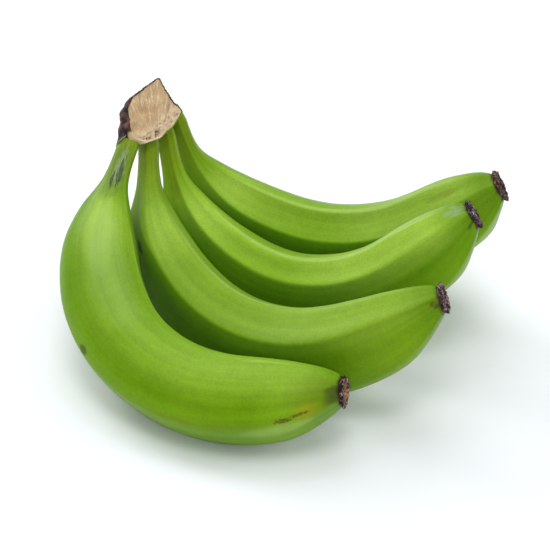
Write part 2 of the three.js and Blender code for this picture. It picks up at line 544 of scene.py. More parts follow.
@dataclass(frozen=True)
class Gloss:
    """How a surface shines: its density, shine and tint, and how strong and deep its bumps are."""

    density: float
    shine: float
    bump: float
    depth: float
    tint: Triple = (1.0, 1.0, 1.0)


@dataclass(frozen=True)
class Pattern:
    """Soft lumps: how many to the metre, finer layers, place among the seeds, and stretch."""

    scale: float
    layers: float = 2.0
    number: float = 0.0
    stretch: Optional[Triple] = None

    def over(self, g: Graph, place: Term, seed: Feed = 0.0) -> Term:
        """The lumps over a place, as a term from 0 to 1."""
        spread = place * self.stretch if self.stretch else place
        return g.noise(spread, self.scale, self.layers, seed + self.number)


@dataclass(frozen=True)
class Wash:
    """Where a colour shows over another: where it starts, where it is full, and how strong."""

    start: float
    full: float
    strength: float = 1.0

    def cover(self, g: Graph, guide: Term) -> Term:
        """How much the wash covers, as a guide rises or falls."""
        return g.rise(guide, self.start, self.full) * self.strength

    def over(self, g: Graph, guide: Term, below: Feed, above: Feed) -> Term:
        """The colour below with the colour above washed over it."""
        return g.blend(self.cover(g, guide), below, above)


def grow(
    name: str, tree: bpy.types.NodeTree, start: bpy.types.Mesh, values: Mapping[str, object]
) -> bpy.types.Object:
    """A plain mesh object made by running a geometry tree once.

    Args:
        name: The name of the new object.
        tree: The geometry tree.
        start: The mesh that the tree is given.
        values: What its inputs are set to, by name.

    Returns:
        The new object, which has no modifier.
    """
    carrier = bpy.data.objects.new(f"{name} maker", start)
    bpy.context.scene.collection.objects.link(carrier)
    modifier = carrier.modifiers.new("maker", "NODES")
    modifier.node_group = tree
    for item in tree.interface.items_tree:
        if item.item_type == "SOCKET" and item.in_out == "INPUT" and item.name in values:
            modifier[item.identifier] = values[item.name]
    evaluated = bpy.context.evaluated_depsgraph_get()
    mesh = bpy.data.meshes.new_from_object(
        carrier.evaluated_get(evaluated), preserve_all_data_layers=True, depsgraph=evaluated
    )
    bpy.data.objects.remove(carrier)
    mesh.name = name
    made = bpy.data.objects.new(name, mesh)
    bpy.context.scene.collection.objects.link(made)
    return made


def install(piece: bpy.types.Object, replaced: Sequence[str]) -> bpy.types.Object:
    """Puts a finished piece on the body, in place of the solids that it stands for.

    Args:
        piece: The piece.
        replaced: The nodes that it stands for.

    Returns:
        The same piece.
    """
    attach(piece, BODY)
    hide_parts(*replaced)
    return piece


# ---- Fruits ----------------------------------------------------------------------------------

BEND_SPANS: Tuple[Pair, ...] = ((0.02, 0.32), (0.15, 0.80), (0.60, 1.00))


@dataclass(frozen=True)
class Fruit:
    """One fruit: where it leaves the crown, how it bends, its size and ridges, and its colour.

    It runs along its heading in a plane that leans to the side, starts out downwards at its dip,
    and bends up at its neck, body and tip. Its ridges, the side with a painted sheen and the
    edges of the side with painted shade are angles round its section, from the inside of the bend.
    """

    base: Triple
    heading: float
    lean: float
    dip: float
    neck_bend: float
    body_bend: float
    tip_bend: float
    length: float
    radius: float
    shoulder: float
    blunt: float
    twist: float
    end_turn: float
    end_droop: float
    ridges: Tuple[float, ...]
    flats: Tuple[float, ...]
    tone: float
    # the angle of the side with painted sheen, and how much more of it there is near the tip
    sheen_side: float
    curl_sheen: float
    # the angles where the painted shade starts and ends, and how deep it is
    painted_shade: Triple
    shading: float

    def plane(self) -> Tuple[Vector, Vector, Vector]:
        """The upright or leaning plane that the fruit bends in.

        Returns:
            The ways along its heading, up in the plane, and across the plane.
        """
        turn, roll = math.radians(self.heading), math.radians(self.lean)
        along = Vector((math.cos(turn), math.sin(turn), 0.0))
        up = Vector((-along.y, along.x, 0.0)) * math.sin(roll)
        up.z = math.cos(roll)
        return along, up, along.cross(up)

    def forward(self, share: float) -> Vector:
        """Direction of the centre line.

        Args:
            share: How far along the fruit, from 0 to 1.

        Returns:
            A unit vector towards the blossom end.
        """
        along, up, _ = self.plane()
        bends = (self.neck_bend, self.body_bend, self.tip_bend)
        bent = sum(bend * ease(share, span) for bend, span in zip(bends, BEND_SPANS))
        slope = math.radians(-self.dip + bent)
        return along * math.cos(slope) + up * math.sin(slope)

    def end_axes(self) -> Tuple[Vector, Vector, Vector]:
        """How the blossom end is turned.

        Returns:
            The way that it faces, and the ways inward and to the side across it.
        """
        forward, across = self.forward(1.0), self.plane()[2]
        inward = across.cross(forward)
        aside, droop = math.radians(self.end_turn), math.radians(self.end_droop)
        side = across * math.cos(aside) + forward * math.sin(aside)
        inward = inward * math.cos(droop) + inward.cross(side) * math.sin(droop)
        return inward.cross(side), inward, side

    def centre_line(self, steps: int) -> List[Vector]:
        """Evenly spaced points of the centre line, from the crown to the blossom end.

        Args:
            steps: How many stretches there are between the points.

        Returns:
            One point more than there are steps.
        """
        points = [Vector(self.base)]
        for step in range(steps):
            points.append(points[-1] + self.forward((step + 0.5) / steps) * (self.length / steps))
        return points


FRUITS = (
    Fruit(
        base=(-0.0816, 0.051, 0.0893), heading=-29, lean=52, dip=84,
        neck_bend=14, body_bend=73, tip_bend=26, length=0.235, radius=0.0220,
        shoulder=0.055, blunt=0.01, twist=-8, end_turn=0, end_droop=12,
        ridges=(18, 147, 215, 262, 310), flats=(0.5, 0.6, 0.6, 0.6, 0.6),
        tone=1.0, sheen_side=62, curl_sheen=0.10, painted_shade=(215, 215, 310), shading=0.3,
    ),
    Fruit(
        base=(-0.072, 0.0605, 0.0838), heading=-37, lean=32, dip=68,
        neck_bend=28, body_bend=63, tip_bend=27, length=0.239, radius=0.0230,
        shoulder=0.0, blunt=-0.04, twist=20, end_turn=12, end_droop=16,
        ridges=(31, 81, 159, 220, 290), flats=(1.05, 0.85, 0.1, 0.6, 0.7),
        tone=0.90, sheen_side=55, curl_sheen=0.20, painted_shade=(101, 81, 215), shading=0.50,
    ),
    Fruit(
        base=(-0.064, 0.073, 0.0817), heading=-29, lean=13, dip=71,
        neck_bend=37, body_bend=68, tip_bend=20, length=0.230, radius=0.0222,
        shoulder=0.0, blunt=0.11, twist=32, end_turn=20, end_droop=13,
        ridges=(28, 64, 139, 204, 281), flats=(1.1, 0.85, 0.5, 0.6, 0.7),
        tone=1.05, sheen_side=42, curl_sheen=0.75, painted_shade=(65, 62, 150), shading=0.58,
    ),
    Fruit(
        base=(-0.059, 0.084, 0.0845), heading=-22, lean=-12, dip=79,
        neck_bend=47, body_bend=65, tip_bend=16, length=0.234, radius=0.0235,
        shoulder=0.0, blunt=0.06, twist=10, end_turn=25, end_droop=20,
        ridges=(7, 50, 122, 190, 260), flats=(1.05, 0.9, 0.6, 0.6, 0.55),
        tone=0.97, sheen_side=23, curl_sheen=0.45, painted_shade=(48, 48, 140), shading=0.60,
    ),
)


@dataclass(frozen=True)
class FruitSkin:
    """How the skin of every fruit is shaped round its centre line."""

    girth: Tuple[Pair, ...] = (
        (0, 0.255), (0.05, 0.26), (0.10, 0.335), (0.17, 0.625), (0.25, 0.845), (0.35, 0.955),
        (0.48, 0.995), (0.64, 1.015), (0.80, 0.965), (0.88, 0.865), (0.94, 0.665),
        (0.98, 0.46), (1, 0.30),
    )
    girth_range: Pair = (0.0, 1.1)
    girth_points: int = 60
    blunt_span: Pair = (0.72, 0.93)
    shoulder: Band = (0.10, 0.26, 0.36, 0.62)
    widest_half_facet: float = 41
    ridge_sharpness: float = 1.06
    stalk_ridging: float = 0.8
    ridging_span: Pair = (0.08, 0.34)
    end_turn_span: Pair = (0.86, 1.0)
    root: float = 0.009
    root_girth: float = 0.19
    waves: Pattern = Pattern(24, 1.0)
    wave_level: float = 0.62
    wave_height: float = 0.0004
    wave_span: Pair = (0.0, 0.2)
    dimples: Pattern = Pattern(260, 1.0, 9.0)
    dimple_height: float = 0.00008
    sides: int = 144
    rings: int = 270
    line_steps: int = 240

    def tree(self) -> bpy.types.NodeTree:
        """The geometry tree that wraps a skin round the centre line it is given.

        Returns:
            The tree, whose inputs are the sizes of one fruit.
        """
        sizes = (
            "Length", "Radius", "Shoulder", "Blunt", "Twist", "End Turn", "End Droop", "Waves",
            "Dimples", "Seed",
        )
        inputs = {"Geometry": "Geometry", "Across": "Vector", "Skin": "Material"}
        inputs |= {name: "Float" for name in sizes}
        for k in range(len(FRUITS[0].ridges)):
            inputs |= {f"Ridge {k}": "Float", f"Flat {k}": "Float"}
        inputs |= {"Sides": "Int", "Rings": "Int"}
        g = Graph.geometry("fruit skin", inputs)
        length, radius, seed = g.given("Length"), g.given("Radius"), g.given("Seed")

        tube = g.tube(g.given("Sides"), g.given("Rings"))
        x, y, z = g.parts(g.make("GeometryNodeInputPosition", {}))
        root = self.root / length
        reach_back = (z + 0.5) * (root + 1.0) - root
        share = g.math("MAXIMUM", reach_back, 0.0)
        rim = g.math("SQRT", x * x + y * y)
        angle = g.math("ARCTAN2", y, x)
        around = g.around(angle, 0.0)
        centre, inward, side, forward = self.axes(g, share)

        ridging = g.rise(share, *self.ridging_span) * (1 - self.stalk_ridging)
        hollow = self.facets(g, angle) * (ridging + self.stalk_ridging)
        on_skin = around * radius + g.xyz(0.0, 0.0, share * length)
        waves = (self.waves.over(g, on_skin, seed) - self.wave_level) * g.given("Waves") * 2.0
        dimples = (self.dimples.over(g, on_skin, seed) - 0.5) * g.given("Dimples") * 2.0
        fullness = g.given("Blunt") * g.rise(share, *self.blunt_span)
        fullness = fullness + g.given("Shoulder") * g.band(share, self.shoulder) + 1.0
        width = radius * self.girth_at(g, reach_back, root) * fullness
        reach = width * (1.0 - hollow) + waves * g.rise(share, *self.wave_span) + dimples
        reach = reach * rim

        turn = angle + g.given("Twist") * (share - 0.5)
        spot = (
            centre
            + inward * (reach * g.math("COSINE", turn))
            + side * (reach * g.math("SINE", turn))
            + forward * (g.math("MINIMUM", reach_back, 0.0) * length)
        )
        flat_x, flat_y, height = g.parts(spot)
        lying = g.xyz(flat_x, flat_y, g.math("MAXIMUM", height, 0.0))
        marked = g.store(tube, "skin_place", around + g.xyz(0.0, 0.0, reach_back))
        marked = g.store(marked, "hollow", hollow, kind="FLOAT")
        shaped = g.make("GeometryNodeSetPosition", {"Geometry": marked, "Position": lying})
        smooth = g.make("GeometryNodeSetShadeSmooth", {"Geometry": shaped, "Shade Smooth": True})
        return g.deliver(smooth, g.given("Skin"))

    def axes(self, g: Graph, share: Term) -> Tuple[Term, Term, Term, Term]:
        """Where the centre line is and how the section across it is turned.

        Args:
            g: The graph of the skin.
            share: Place along the fruit.

        Returns:
            The centre, and the ways inward, to the side and forward.
        """
        line = g.make("GeometryNodeMeshToCurve", {"Mesh": g.given("Geometry")})
        centre = g.make(
            "GeometryNodeSampleCurve", {"Curves": line, "Factor": share}, "Position", mode="FACTOR"
        )
        across = g.given("Across")
        forward = g.vector("NORMALIZE", centre.other("Tangent"))
        inward = g.vector("CROSS_PRODUCT", across, forward)
        turning = g.rise(share, *self.end_turn_span)
        aside, droop = g.given("End Turn") * turning, g.given("End Droop") * turning
        side = across * g.math("COSINE", aside) + forward * g.math("SINE", aside)
        facing = g.vector("CROSS_PRODUCT", inward, side)
        inward = inward * g.math("COSINE", droop) + facing * g.math("SINE", droop)
        return centre, inward, side, forward

    def facets(self, g: Graph, angle: Term) -> Term:
        """How far the skin drops between its ridges, as a share of its radius.

        Args:
            g: The graph of the skin.
            angle: The angle round the section.

        Returns:
            The drop as a term.
        """
        count = len(FRUITS[0].ridges)
        widest = math.radians(self.widest_half_facet)
        total: Feed = 0.0
        for k in range(count):
            ridge = g.given(f"Ridge {k}")
            span = g.math("WRAP", g.given(f"Ridge {(k + 1) % count}") - ridge, math.tau, 0.0)
            share = g.math("MINIMUM", g.math("WRAP", angle - ridge, math.tau, 0.0) / span, 1.0)
            swell = g.math("MAXIMUM", g.math("SINE", share * math.pi), 0.0) ** self.ridge_sharpness
            half = g.math("MINIMUM", span * 0.5, widest)
            total = swell * (1.0 - g.math("COSINE", half)) * g.given(f"Flat {k}") + total
        return total

    def girth_at(self, g: Graph, reach_back: Term, root: Term) -> Term:
        """Share of the full radius along the fruit, and on the root behind it.

        Args:
            g: The graph of the skin.
            reach_back: Place along the fruit, which is below 0 on the root.
            root: Length of the root as a share of the fruit's length.

        Returns:
            The share as a term.
        """
        body = g.curve(reach_back, self.girth, self.girth_points, self.girth_range)
        taper = g.math("MINIMUM", reach_back / root, 0.0)
        return body + taper * (self.girth[0][1] - self.root_girth)


@dataclass(frozen=True)
class MarkStyle:
    """How a kind of mark looks: its colour, grain, cover, edge, strength and gloss."""

    colour: Triple
    grain: float
    fill: float
    edge: float
    strength: float
    roughness: float
    stretch: float = 1.0


class MarkKind(Enum):
    """The kinds of marks that green peel carries."""

    SPECKLES = MarkStyle(
        (0.095, 0.052, 0.010), grain=1300, fill=0.66, edge=0.10, strength=0.75, roughness=0.6
    )
    SMUDGE = MarkStyle(
        (0.030, 0.045, 0.012), grain=150, fill=1.25, edge=0.70, strength=0.7, roughness=0.6
    )
    SCUFF = MarkStyle(
        (0.30, 0.39, 0.20), grain=520, fill=0.72, edge=0.25, strength=0.6, roughness=0.7,
        stretch=0.5,
    )
    BRUISE = MarkStyle(
        (0.035, 0.037, 0.028), grain=520, fill=0.66, edge=0.10, strength=0.75, roughness=0.7,
        stretch=0.35,
    )
    BLUSH = MarkStyle(
        (0.42, 0.33, 0.010), grain=90, fill=1.1, edge=1.0, strength=0.55, roughness=0.45
    )
    # painted light: pale patches for a sheen, a rim highlight or light thrown up from the floor
    PAINTED_LIGHT = MarkStyle(
        (0.37, 0.54, 0.11), grain=90, fill=1.2, edge=0.8, strength=0.5, roughness=0.5
    )
    # painted highlight: a pale soft band along the lit side
    PAINTED_HIGHLIGHT = MarkStyle(
        (0.27, 0.42, 0.14), grain=90, fill=1.3, edge=1.0, strength=0.28, roughness=0.45
    )
    WEATHERED = MarkStyle(
        (0.090, 0.150, 0.035), grain=170, fill=1.15, edge=0.8, strength=0.66, roughness=0.6
    )
    OLIVE = MarkStyle(
        (0.15, 0.18, 0.010), grain=90, fill=1.0, edge=0.8, strength=0.5, roughness=0.5
    )


@dataclass(frozen=True)
class Mark:
    """A mark on one fruit, by its place along and round the skin and its size."""

    kind: MarkKind
    share: float
    angle: float
    length: float
    width: float


@dataclass(frozen=True)
class Spot:
    """A place on the peel: cosine and sine of its angle round the section, and how far along."""

    east: Term
    north: Term
    share: Term


@dataclass(frozen=True)
class GreenPeel:
    """Waxy unripe peel: mottled and streaked, freckled, duller at the stalk and blossom end.

    Its colours come first, then its patterns, then where each change of colour shows along the
    fruit and round it, and last how it shines. Some colours are painted light: a painted sheen on
    the upper side, painted highlights on the ridges and at the rim, and painted shade on the side
    towards the next fruit.
    """

    leaf: Triple = (0.150, 0.308, 0.002)
    lime: Triple = (0.215, 0.390, 0.007)
    shade: Triple = (0.088, 0.225, 0.0007)
    # pale is the colour of the painted sheen on the upper side
    pale: Triple = (0.300, 0.475, 0.045)
    # the colour of the painted highlight along the ridge at the rim
    rim_highlight: Triple = (0.370, 0.540, 0.110)
    stalk: Triple = (0.190, 0.290, 0.009)
    tip: Triple = (0.100, 0.230, 0.002)
    # dark greens of the painted shade on the side towards the next fruit, on the body and at the
    # stalk
    deep: Triple = (0.044, 0.160, 0.0004)
    stalk_shade_green: Triple = (0.095, 0.150, 0.004)
    freckle: Triple = (0.035, 0.060, 0.006)
    scar: Triple = (0.060, 0.032, 0.018)

    mottle: Pattern = Pattern(34, 3.0)
    mottle_span: Pair = (0.34, 0.68)
    mottle_strength: float = 0.55
    cloud: Pattern = Pattern(13, 1.0, 3)
    clouded: Wash = Wash(0.35, 0.65, 0.40)
    streak: Pattern = Pattern(1.0, 2.0, 5, (7.0, 7.0, 2.4))
    hair: Pattern = Pattern(1.0, 2.0, 7, (26.0, 26.0, 9.0))
    grain: Pattern = Pattern(1100, 2.0, 9)
    scar_fray: Pattern = Pattern(420, 2.0, 11)
    band: Pattern = Pattern(1.0, 1.0, 13, (4.0, 4.0, 0.9))
    blotch: Pattern = Pattern(210, 2.0, 15)
    first_mark: float = 20

    # painted sheen on the upper side, where the lights above fall: along the body, more at the
    # shoulder (partly the peel's own paler colour there) and near the tip
    sheen_facing: Pair = (0.55, 1.0)
    sheen_body: float = 0.30
    sheen_shoulder: float = 0.60
    shoulder: Band = (0.12, 0.19, 0.22, 0.36)
    curl: Band = (0.50, 0.72, 0.92, 0.99)
    # painted highlight: lighter lime on the ridges, where they catch the light
    ridge_highlight: Wash = Wash(0.03, 0.0, 0.3)
    # the painted highlight along the ridge at the rim
    crest_strength: float = 0.55
    crest_offset: float = 4
    crest_width: Pair = (0.09, 0.02)
    crest_run: Band = (0.16, 0.30, 0.90, 0.98)
    stalk_green: Wash = Wash(0.16, 0.03)
    tip_green: Wash = Wash(0.91, 1.0, 0.7)
    neck: Wash = Wash(0.26, 0.12)
    scarred: Wash = Wash(0.992, 0.999)
    scar_stray: float = 0.012

    # where the painted shade on the side towards the next fruit starts, fades and ends
    shade_turn: Pair = (0.30, 0.12)
    shade_edge: Pair = (-0.03, 0.07)
    shade_far_edge: float = 0.25
    shade_neck: float = 0.25
    shade_stalk: Wash = Wash(0.20, 0.05, 0.85)
    shade_fall: Pair = (0.90, 0.62)

    freckle_sizes: Tuple[Triple, ...] = ((250, 0.085, 0.72), (620, 0.12, 0.80))
    freckle_core: float = 0.4
    freckle_edge: float = 0.05
    freckle_strength: float = 0.65
    mark_core: float = 0.15

    light_unevenness: Tuple[float, ...] = (0.16, 0.20, 0.50, 0.50, 0.22)
    gloss_unevenness: Pair = (0.08, 0.10)
    bump_heights: Triple = (0.35, 0.5, 0.8)
    freckle_sink: float = 0.25
    roughness: float = 0.40
    shade_roughness: float = 0.50
    gloss: Gloss = Gloss(density=1.34, shine=0.50, bump=0.35, depth=0.0002, tint=(0.90, 1.0, 0.32))

    def material(
        self, name: str, fruit: Fruit, marks: Sequence[Mark], seed: float
    ) -> bpy.types.Material:
        """The peel of one fruit.

        Args:
            name: The material's name.
            fruit: The fruit that wears it.
            marks: The fruit's own marks.
            seed: Picks its patterns.

        Returns:
            The material.
        """
        g, material = Graph.shader(name)
        place = g.stored("skin_place")
        inside = g.make("ShaderNodeTexCoord", {}, "Object")
        spot = Spot(*g.parts(place))

        mottle = g.rise(self.mottle.over(g, inside, seed), *self.mottle_span)
        grain = self.grain.over(g, inside, seed)
        blotch = self.blotch.over(g, inside, seed)
        streak, hair, band = (
            pattern.over(g, place, seed) for pattern in (self.streak, self.hair, self.band)
        )
        # painted shade on the side towards the next fruit
        shade_cover = self.painted_shade(g, spot, fruit)
        freckles = self.freckles(g, inside, seed)

        colour = g.blend(mottle * self.mottle_strength, self.leaf, self.lime)
        colour = self.clouded.over(g, self.cloud.over(g, inside, seed), colour, self.shade)
        # painted sheen on the upper side
        colour = g.blend(self.sheen_side(g, spot, fruit), colour, self.pale)
        # painted highlight on the ridges
        colour = self.ridge_highlight.over(g, g.stored("hollow", "Fac"), colour, self.lime)
        # painted highlight along the ridge at the rim
        colour = g.blend(self.rim_highlight_line(g, spot, fruit), colour, self.rim_highlight)
        colour = self.stalk_green.over(g, spot.share, colour, self.stalk)
        colour = self.tip_green.over(g, spot.share, colour, self.tip)
        # painted shade: dark green on the side towards the next fruit, duller at the neck and stalk
        shade_green = self.neck.over(g, spot.share, self.deep, self.stalk_shade_green)
        colour = g.blend(shade_cover, colour, shade_green)
        light = g.uneven(1.0, (streak, hair, grain, band, blotch), self.light_unevenness)
        colour = g.lit(colour, light * fruit.tone)
        colour = g.blend(freckles * self.freckle_strength, colour, self.freckle)

        roughness = g.uneven(self.roughness, (mottle, grain), self.gloss_unevenness)
        roughness = roughness + shade_cover * self.shade_roughness
        on_skin = place * (fruit.radius, fruit.radius, fruit.length)
        for number, mark in enumerate(marks):
            cover = self.cover(g, on_skin, fruit, mark, seed + self.first_mark + number)
            colour = g.blend(cover, colour, mark.kind.value.colour)
            roughness = roughness + cover * (mark.kind.value.roughness - self.roughness)
        fray = g.uneven(spot.share, (self.scar_fray.over(g, inside, seed),), (self.scar_stray,))
        colour = self.scarred.over(g, fray, colour, self.scar)

        bumps = g.uneven(0.0, (grain, hair, streak), self.bump_heights)
        g.coat(colour, roughness, bumps - freckles * self.freckle_sink, self.gloss)
        return material

    def sheen_side(self, g: Graph, spot: Spot, fruit: Fruit) -> Term:
        """How much painted sheen lies on the upper side, where the lights above fall; at the
        shoulder it is partly the peel's own paler colour.

        Args:
            g: The graph of the material.
            spot: The place on the peel.
            fruit: The fruit.

        Returns:
            The paleness as a term.
        """
        side = math.radians(fruit.sheen_side)
        sheen_side = g.rise(spot.east * math.cos(side) + spot.north * math.sin(side), *self.sheen_facing)
        shoulder, curl = g.band(spot.share, self.shoulder), g.band(spot.share, self.curl)
        return sheen_side * (self.sheen_body + shoulder * self.sheen_shoulder + curl * fruit.curl_sheen)

    def painted_shade(self, g: Graph, spot: Spot, fruit: Fruit) -> Term:
        """How deep the painted shade is on the side that faces the next fruit, where that fruit
        shades it.

        Args:
            g: The graph of the material.
            spot: The place on the peel.
            fruit: The fruit.

        Returns:
            The depth as a term.
        """
        at_stalk, on_belly, far_edge = (math.radians(angle) for angle in fruit.painted_shade)
        start = g.rise(spot.share, *self.shade_turn) * (at_stalk - on_belly) + on_belly
        angle = g.math("WRAP", g.math("ARCTAN2", spot.north, spot.east), math.tau, 0.0)
        window = g.rise(angle - start, *self.shade_edge)
        window = window * g.rise(angle, far_edge, far_edge - self.shade_far_edge)
        faded = 1.0 - self.neck.cover(g, spot.share) * self.shade_neck
        faded = faded * (1.0 - self.shade_stalk.cover(g, spot.share))
        return window * faded * g.rise(spot.share, *self.shade_fall) * fruit.shading

    def rim_highlight_line(self, g: Graph, spot: Spot, fruit: Fruit) -> Term:
        """How strong the painted highlight is on the ridge along the hollow side of the bend.

        Args:
            g: The graph of the material.
            spot: The place on the peel.
            fruit: The fruit.

        Returns:
            The paleness as a term.
        """
        ridge = math.radians(fruit.ridges[0] - self.crest_offset)
        facing = spot.east * math.cos(ridge) + spot.north * math.sin(ridge)
        line = g.rise(facing, *(math.cos(width) for width in self.crest_width))
        return line * g.band(spot.share, self.crest_run) * self.crest_strength

    def freckles(self, g: Graph, inside: Term, seed: float) -> Term:
        """Fine dark freckles, on some of the scattered places only.

        Args:
            g: The graph of the material.
            inside: Where to look, in metres.
            seed: Picks the pattern.

        Returns:
            Their cover as a term.
        """
        total: Feed = 0.0
        for scale, size, rarity in self.freckle_sizes:
            near = g.scatter(inside, scale, seed)
            chosen, _, _ = g.parts(near.other("Color"))
            dot = g.rise(near, size, size * self.freckle_core)
            total = dot * g.rise(chosen, rarity, rarity + self.freckle_edge) + total
        return g.math("MINIMUM", total, 1.0)

    def cover(self, g: Graph, on_skin: Term, fruit: Fruit, mark: Mark, seed: float) -> Term:
        """How much of the peel a mark hides.

        Args:
            g: The graph of the material.
            on_skin: Where to look, in metres round and along the skin.
            fruit: The fruit that is marked.
            mark: The mark.
            seed: Picks its grain.

        Returns:
            The cover as a term.
        """
        style = mark.kind.value
        turn = math.radians(mark.angle)
        middle = (
            fruit.radius * math.cos(turn), fruit.radius * math.sin(turn), fruit.length * mark.share
        )
        scale = (1 / mark.width, 1 / mark.width, 1 / mark.length)
        away = g.vector("LENGTH", (on_skin - middle) * scale).other("Value")
        grain = Pattern(style.grain, 3.0, stretch=(1.0, 1.0, style.stretch)).over(g, on_skin, seed)
        depth = grain - 1.0 + g.rise(away, 1.0, self.mark_core) * style.fill
        return g.rise(depth, 0.0, style.edge) * style.strength


@dataclass
class Bunch:
    """The four fruits, from the near side of the hand to the far side."""

    skin: FruitSkin = FruitSkin()
    peel: GreenPeel = GreenPeel()
    marks: Tuple[Tuple[Mark, ...], ...] = (
        (
            # painted sheen on the shoulder
            Mark(MarkKind.PAINTED_LIGHT, share=0.245, angle=70, length=0.0460, width=0.0200),
            # painted highlight band down the body
            Mark(MarkKind.PAINTED_HIGHLIGHT, share=0.360, angle=62, length=0.0800, width=0.0240),
            Mark(MarkKind.WEATHERED, share=0.070, angle=72, length=0.0360, width=0.0400),
            Mark(MarkKind.SCUFF, share=0.065, angle=60, length=0.0260, width=0.0250),
            Mark(MarkKind.BRUISE, share=0.075, angle=52, length=0.0220, width=0.0120),
            Mark(MarkKind.BRUISE, share=0.100, angle=76, length=0.0120, width=0.0080),
            Mark(MarkKind.OLIVE, share=0.960, angle=112, length=0.0330, width=0.0420),
            Mark(MarkKind.OLIVE, share=0.740, angle=146, length=0.0650, width=0.0048),
            # painted highlight along the rim near the tip
            Mark(MarkKind.PAINTED_LIGHT, share=0.850, angle=37, length=0.0320, width=0.0022),
            # painted light thrown up from the floor under the low ridge
            Mark(MarkKind.PAINTED_LIGHT, share=0.880, angle=163, length=0.0330, width=0.0130),
            Mark(MarkKind.SMUDGE, share=0.998, angle=118, length=0.0120, width=0.0290),
            Mark(MarkKind.BLUSH, share=0.942, angle=141, length=0.0160, width=0.0140),
            Mark(MarkKind.SPECKLES, share=0.893, angle=143, length=0.0110, width=0.0034),
            Mark(MarkKind.SPECKLES, share=0.927, angle=140, length=0.0100, width=0.0026),
            Mark(MarkKind.SMUDGE, share=0.472, angle=141, length=0.0050, width=0.0040),
        ),
        (
            Mark(MarkKind.BRUISE, share=0.235, angle=108, length=0.0110, width=0.0045),
            Mark(MarkKind.SMUDGE, share=0.994, angle=112, length=0.0040, width=0.0080),
            Mark(MarkKind.SPECKLES, share=0.986, angle=96, length=0.0045, width=0.0090),
            Mark(MarkKind.OLIVE, share=0.150, angle=118, length=0.0200, width=0.0120),
        ),
        (
            Mark(MarkKind.SCUFF, share=0.972, angle=41, length=0.0120, width=0.0160),
            Mark(MarkKind.SMUDGE, share=0.988, angle=102, length=0.0050, width=0.0055),
            Mark(MarkKind.OLIVE, share=0.115, angle=80, length=0.0140, width=0.0160),
        ),
        (
            Mark(MarkKind.OLIVE, share=0.900, angle=24, length=0.0200, width=0.0060),
        ),
    )

    def build(self) -> List[bpy.types.Object]:
        """Makes each fruit and puts it in place of its solid.

        Returns:
            The finished fruits.
        """
        tree, skin = self.skin.tree(), self.skin
        pieces = []
        for number, (fruit, marks) in enumerate(zip(FRUITS, self.marks), start=1):
            line = bpy.data.meshes.new(f"centre line {number}")
            points = fruit.centre_line(skin.line_steps)
            line.from_pydata(points, [(k, k + 1) for k in range(skin.line_steps)], [])
            peel = self.peel.material(f"green peel {number}", fruit, marks, seed=10.0 * number)
            values = {
                "Across": tuple(fruit.plane()[2]), "Skin": peel,
                "Length": fruit.length, "Radius": fruit.radius,
                "Shoulder": fruit.shoulder, "Blunt": float(fruit.blunt),
                "Twist": math.radians(fruit.twist), "End Turn": math.radians(fruit.end_turn),
                "End Droop": math.radians(fruit.end_droop), "Waves": skin.wave_height,
                "Dimples": skin.dimple_height, "Seed": float(number),
                "Sides": skin.sides, "Rings": skin.rings,
            }
            for k, (ridge, flat) in enumerate(zip(fruit.ridges, fruit.flats)):
                values |= {f"Ridge {k}": math.radians(ridge), f"Flat {k}": float(flat)}
            piece = grow(f"fruit_{number}", tree, line, values)
            pieces.append(install(piece, [f"finger_{number}"]))
        return pieces


# ---- Crown -----------------------------------------------------------------------------------


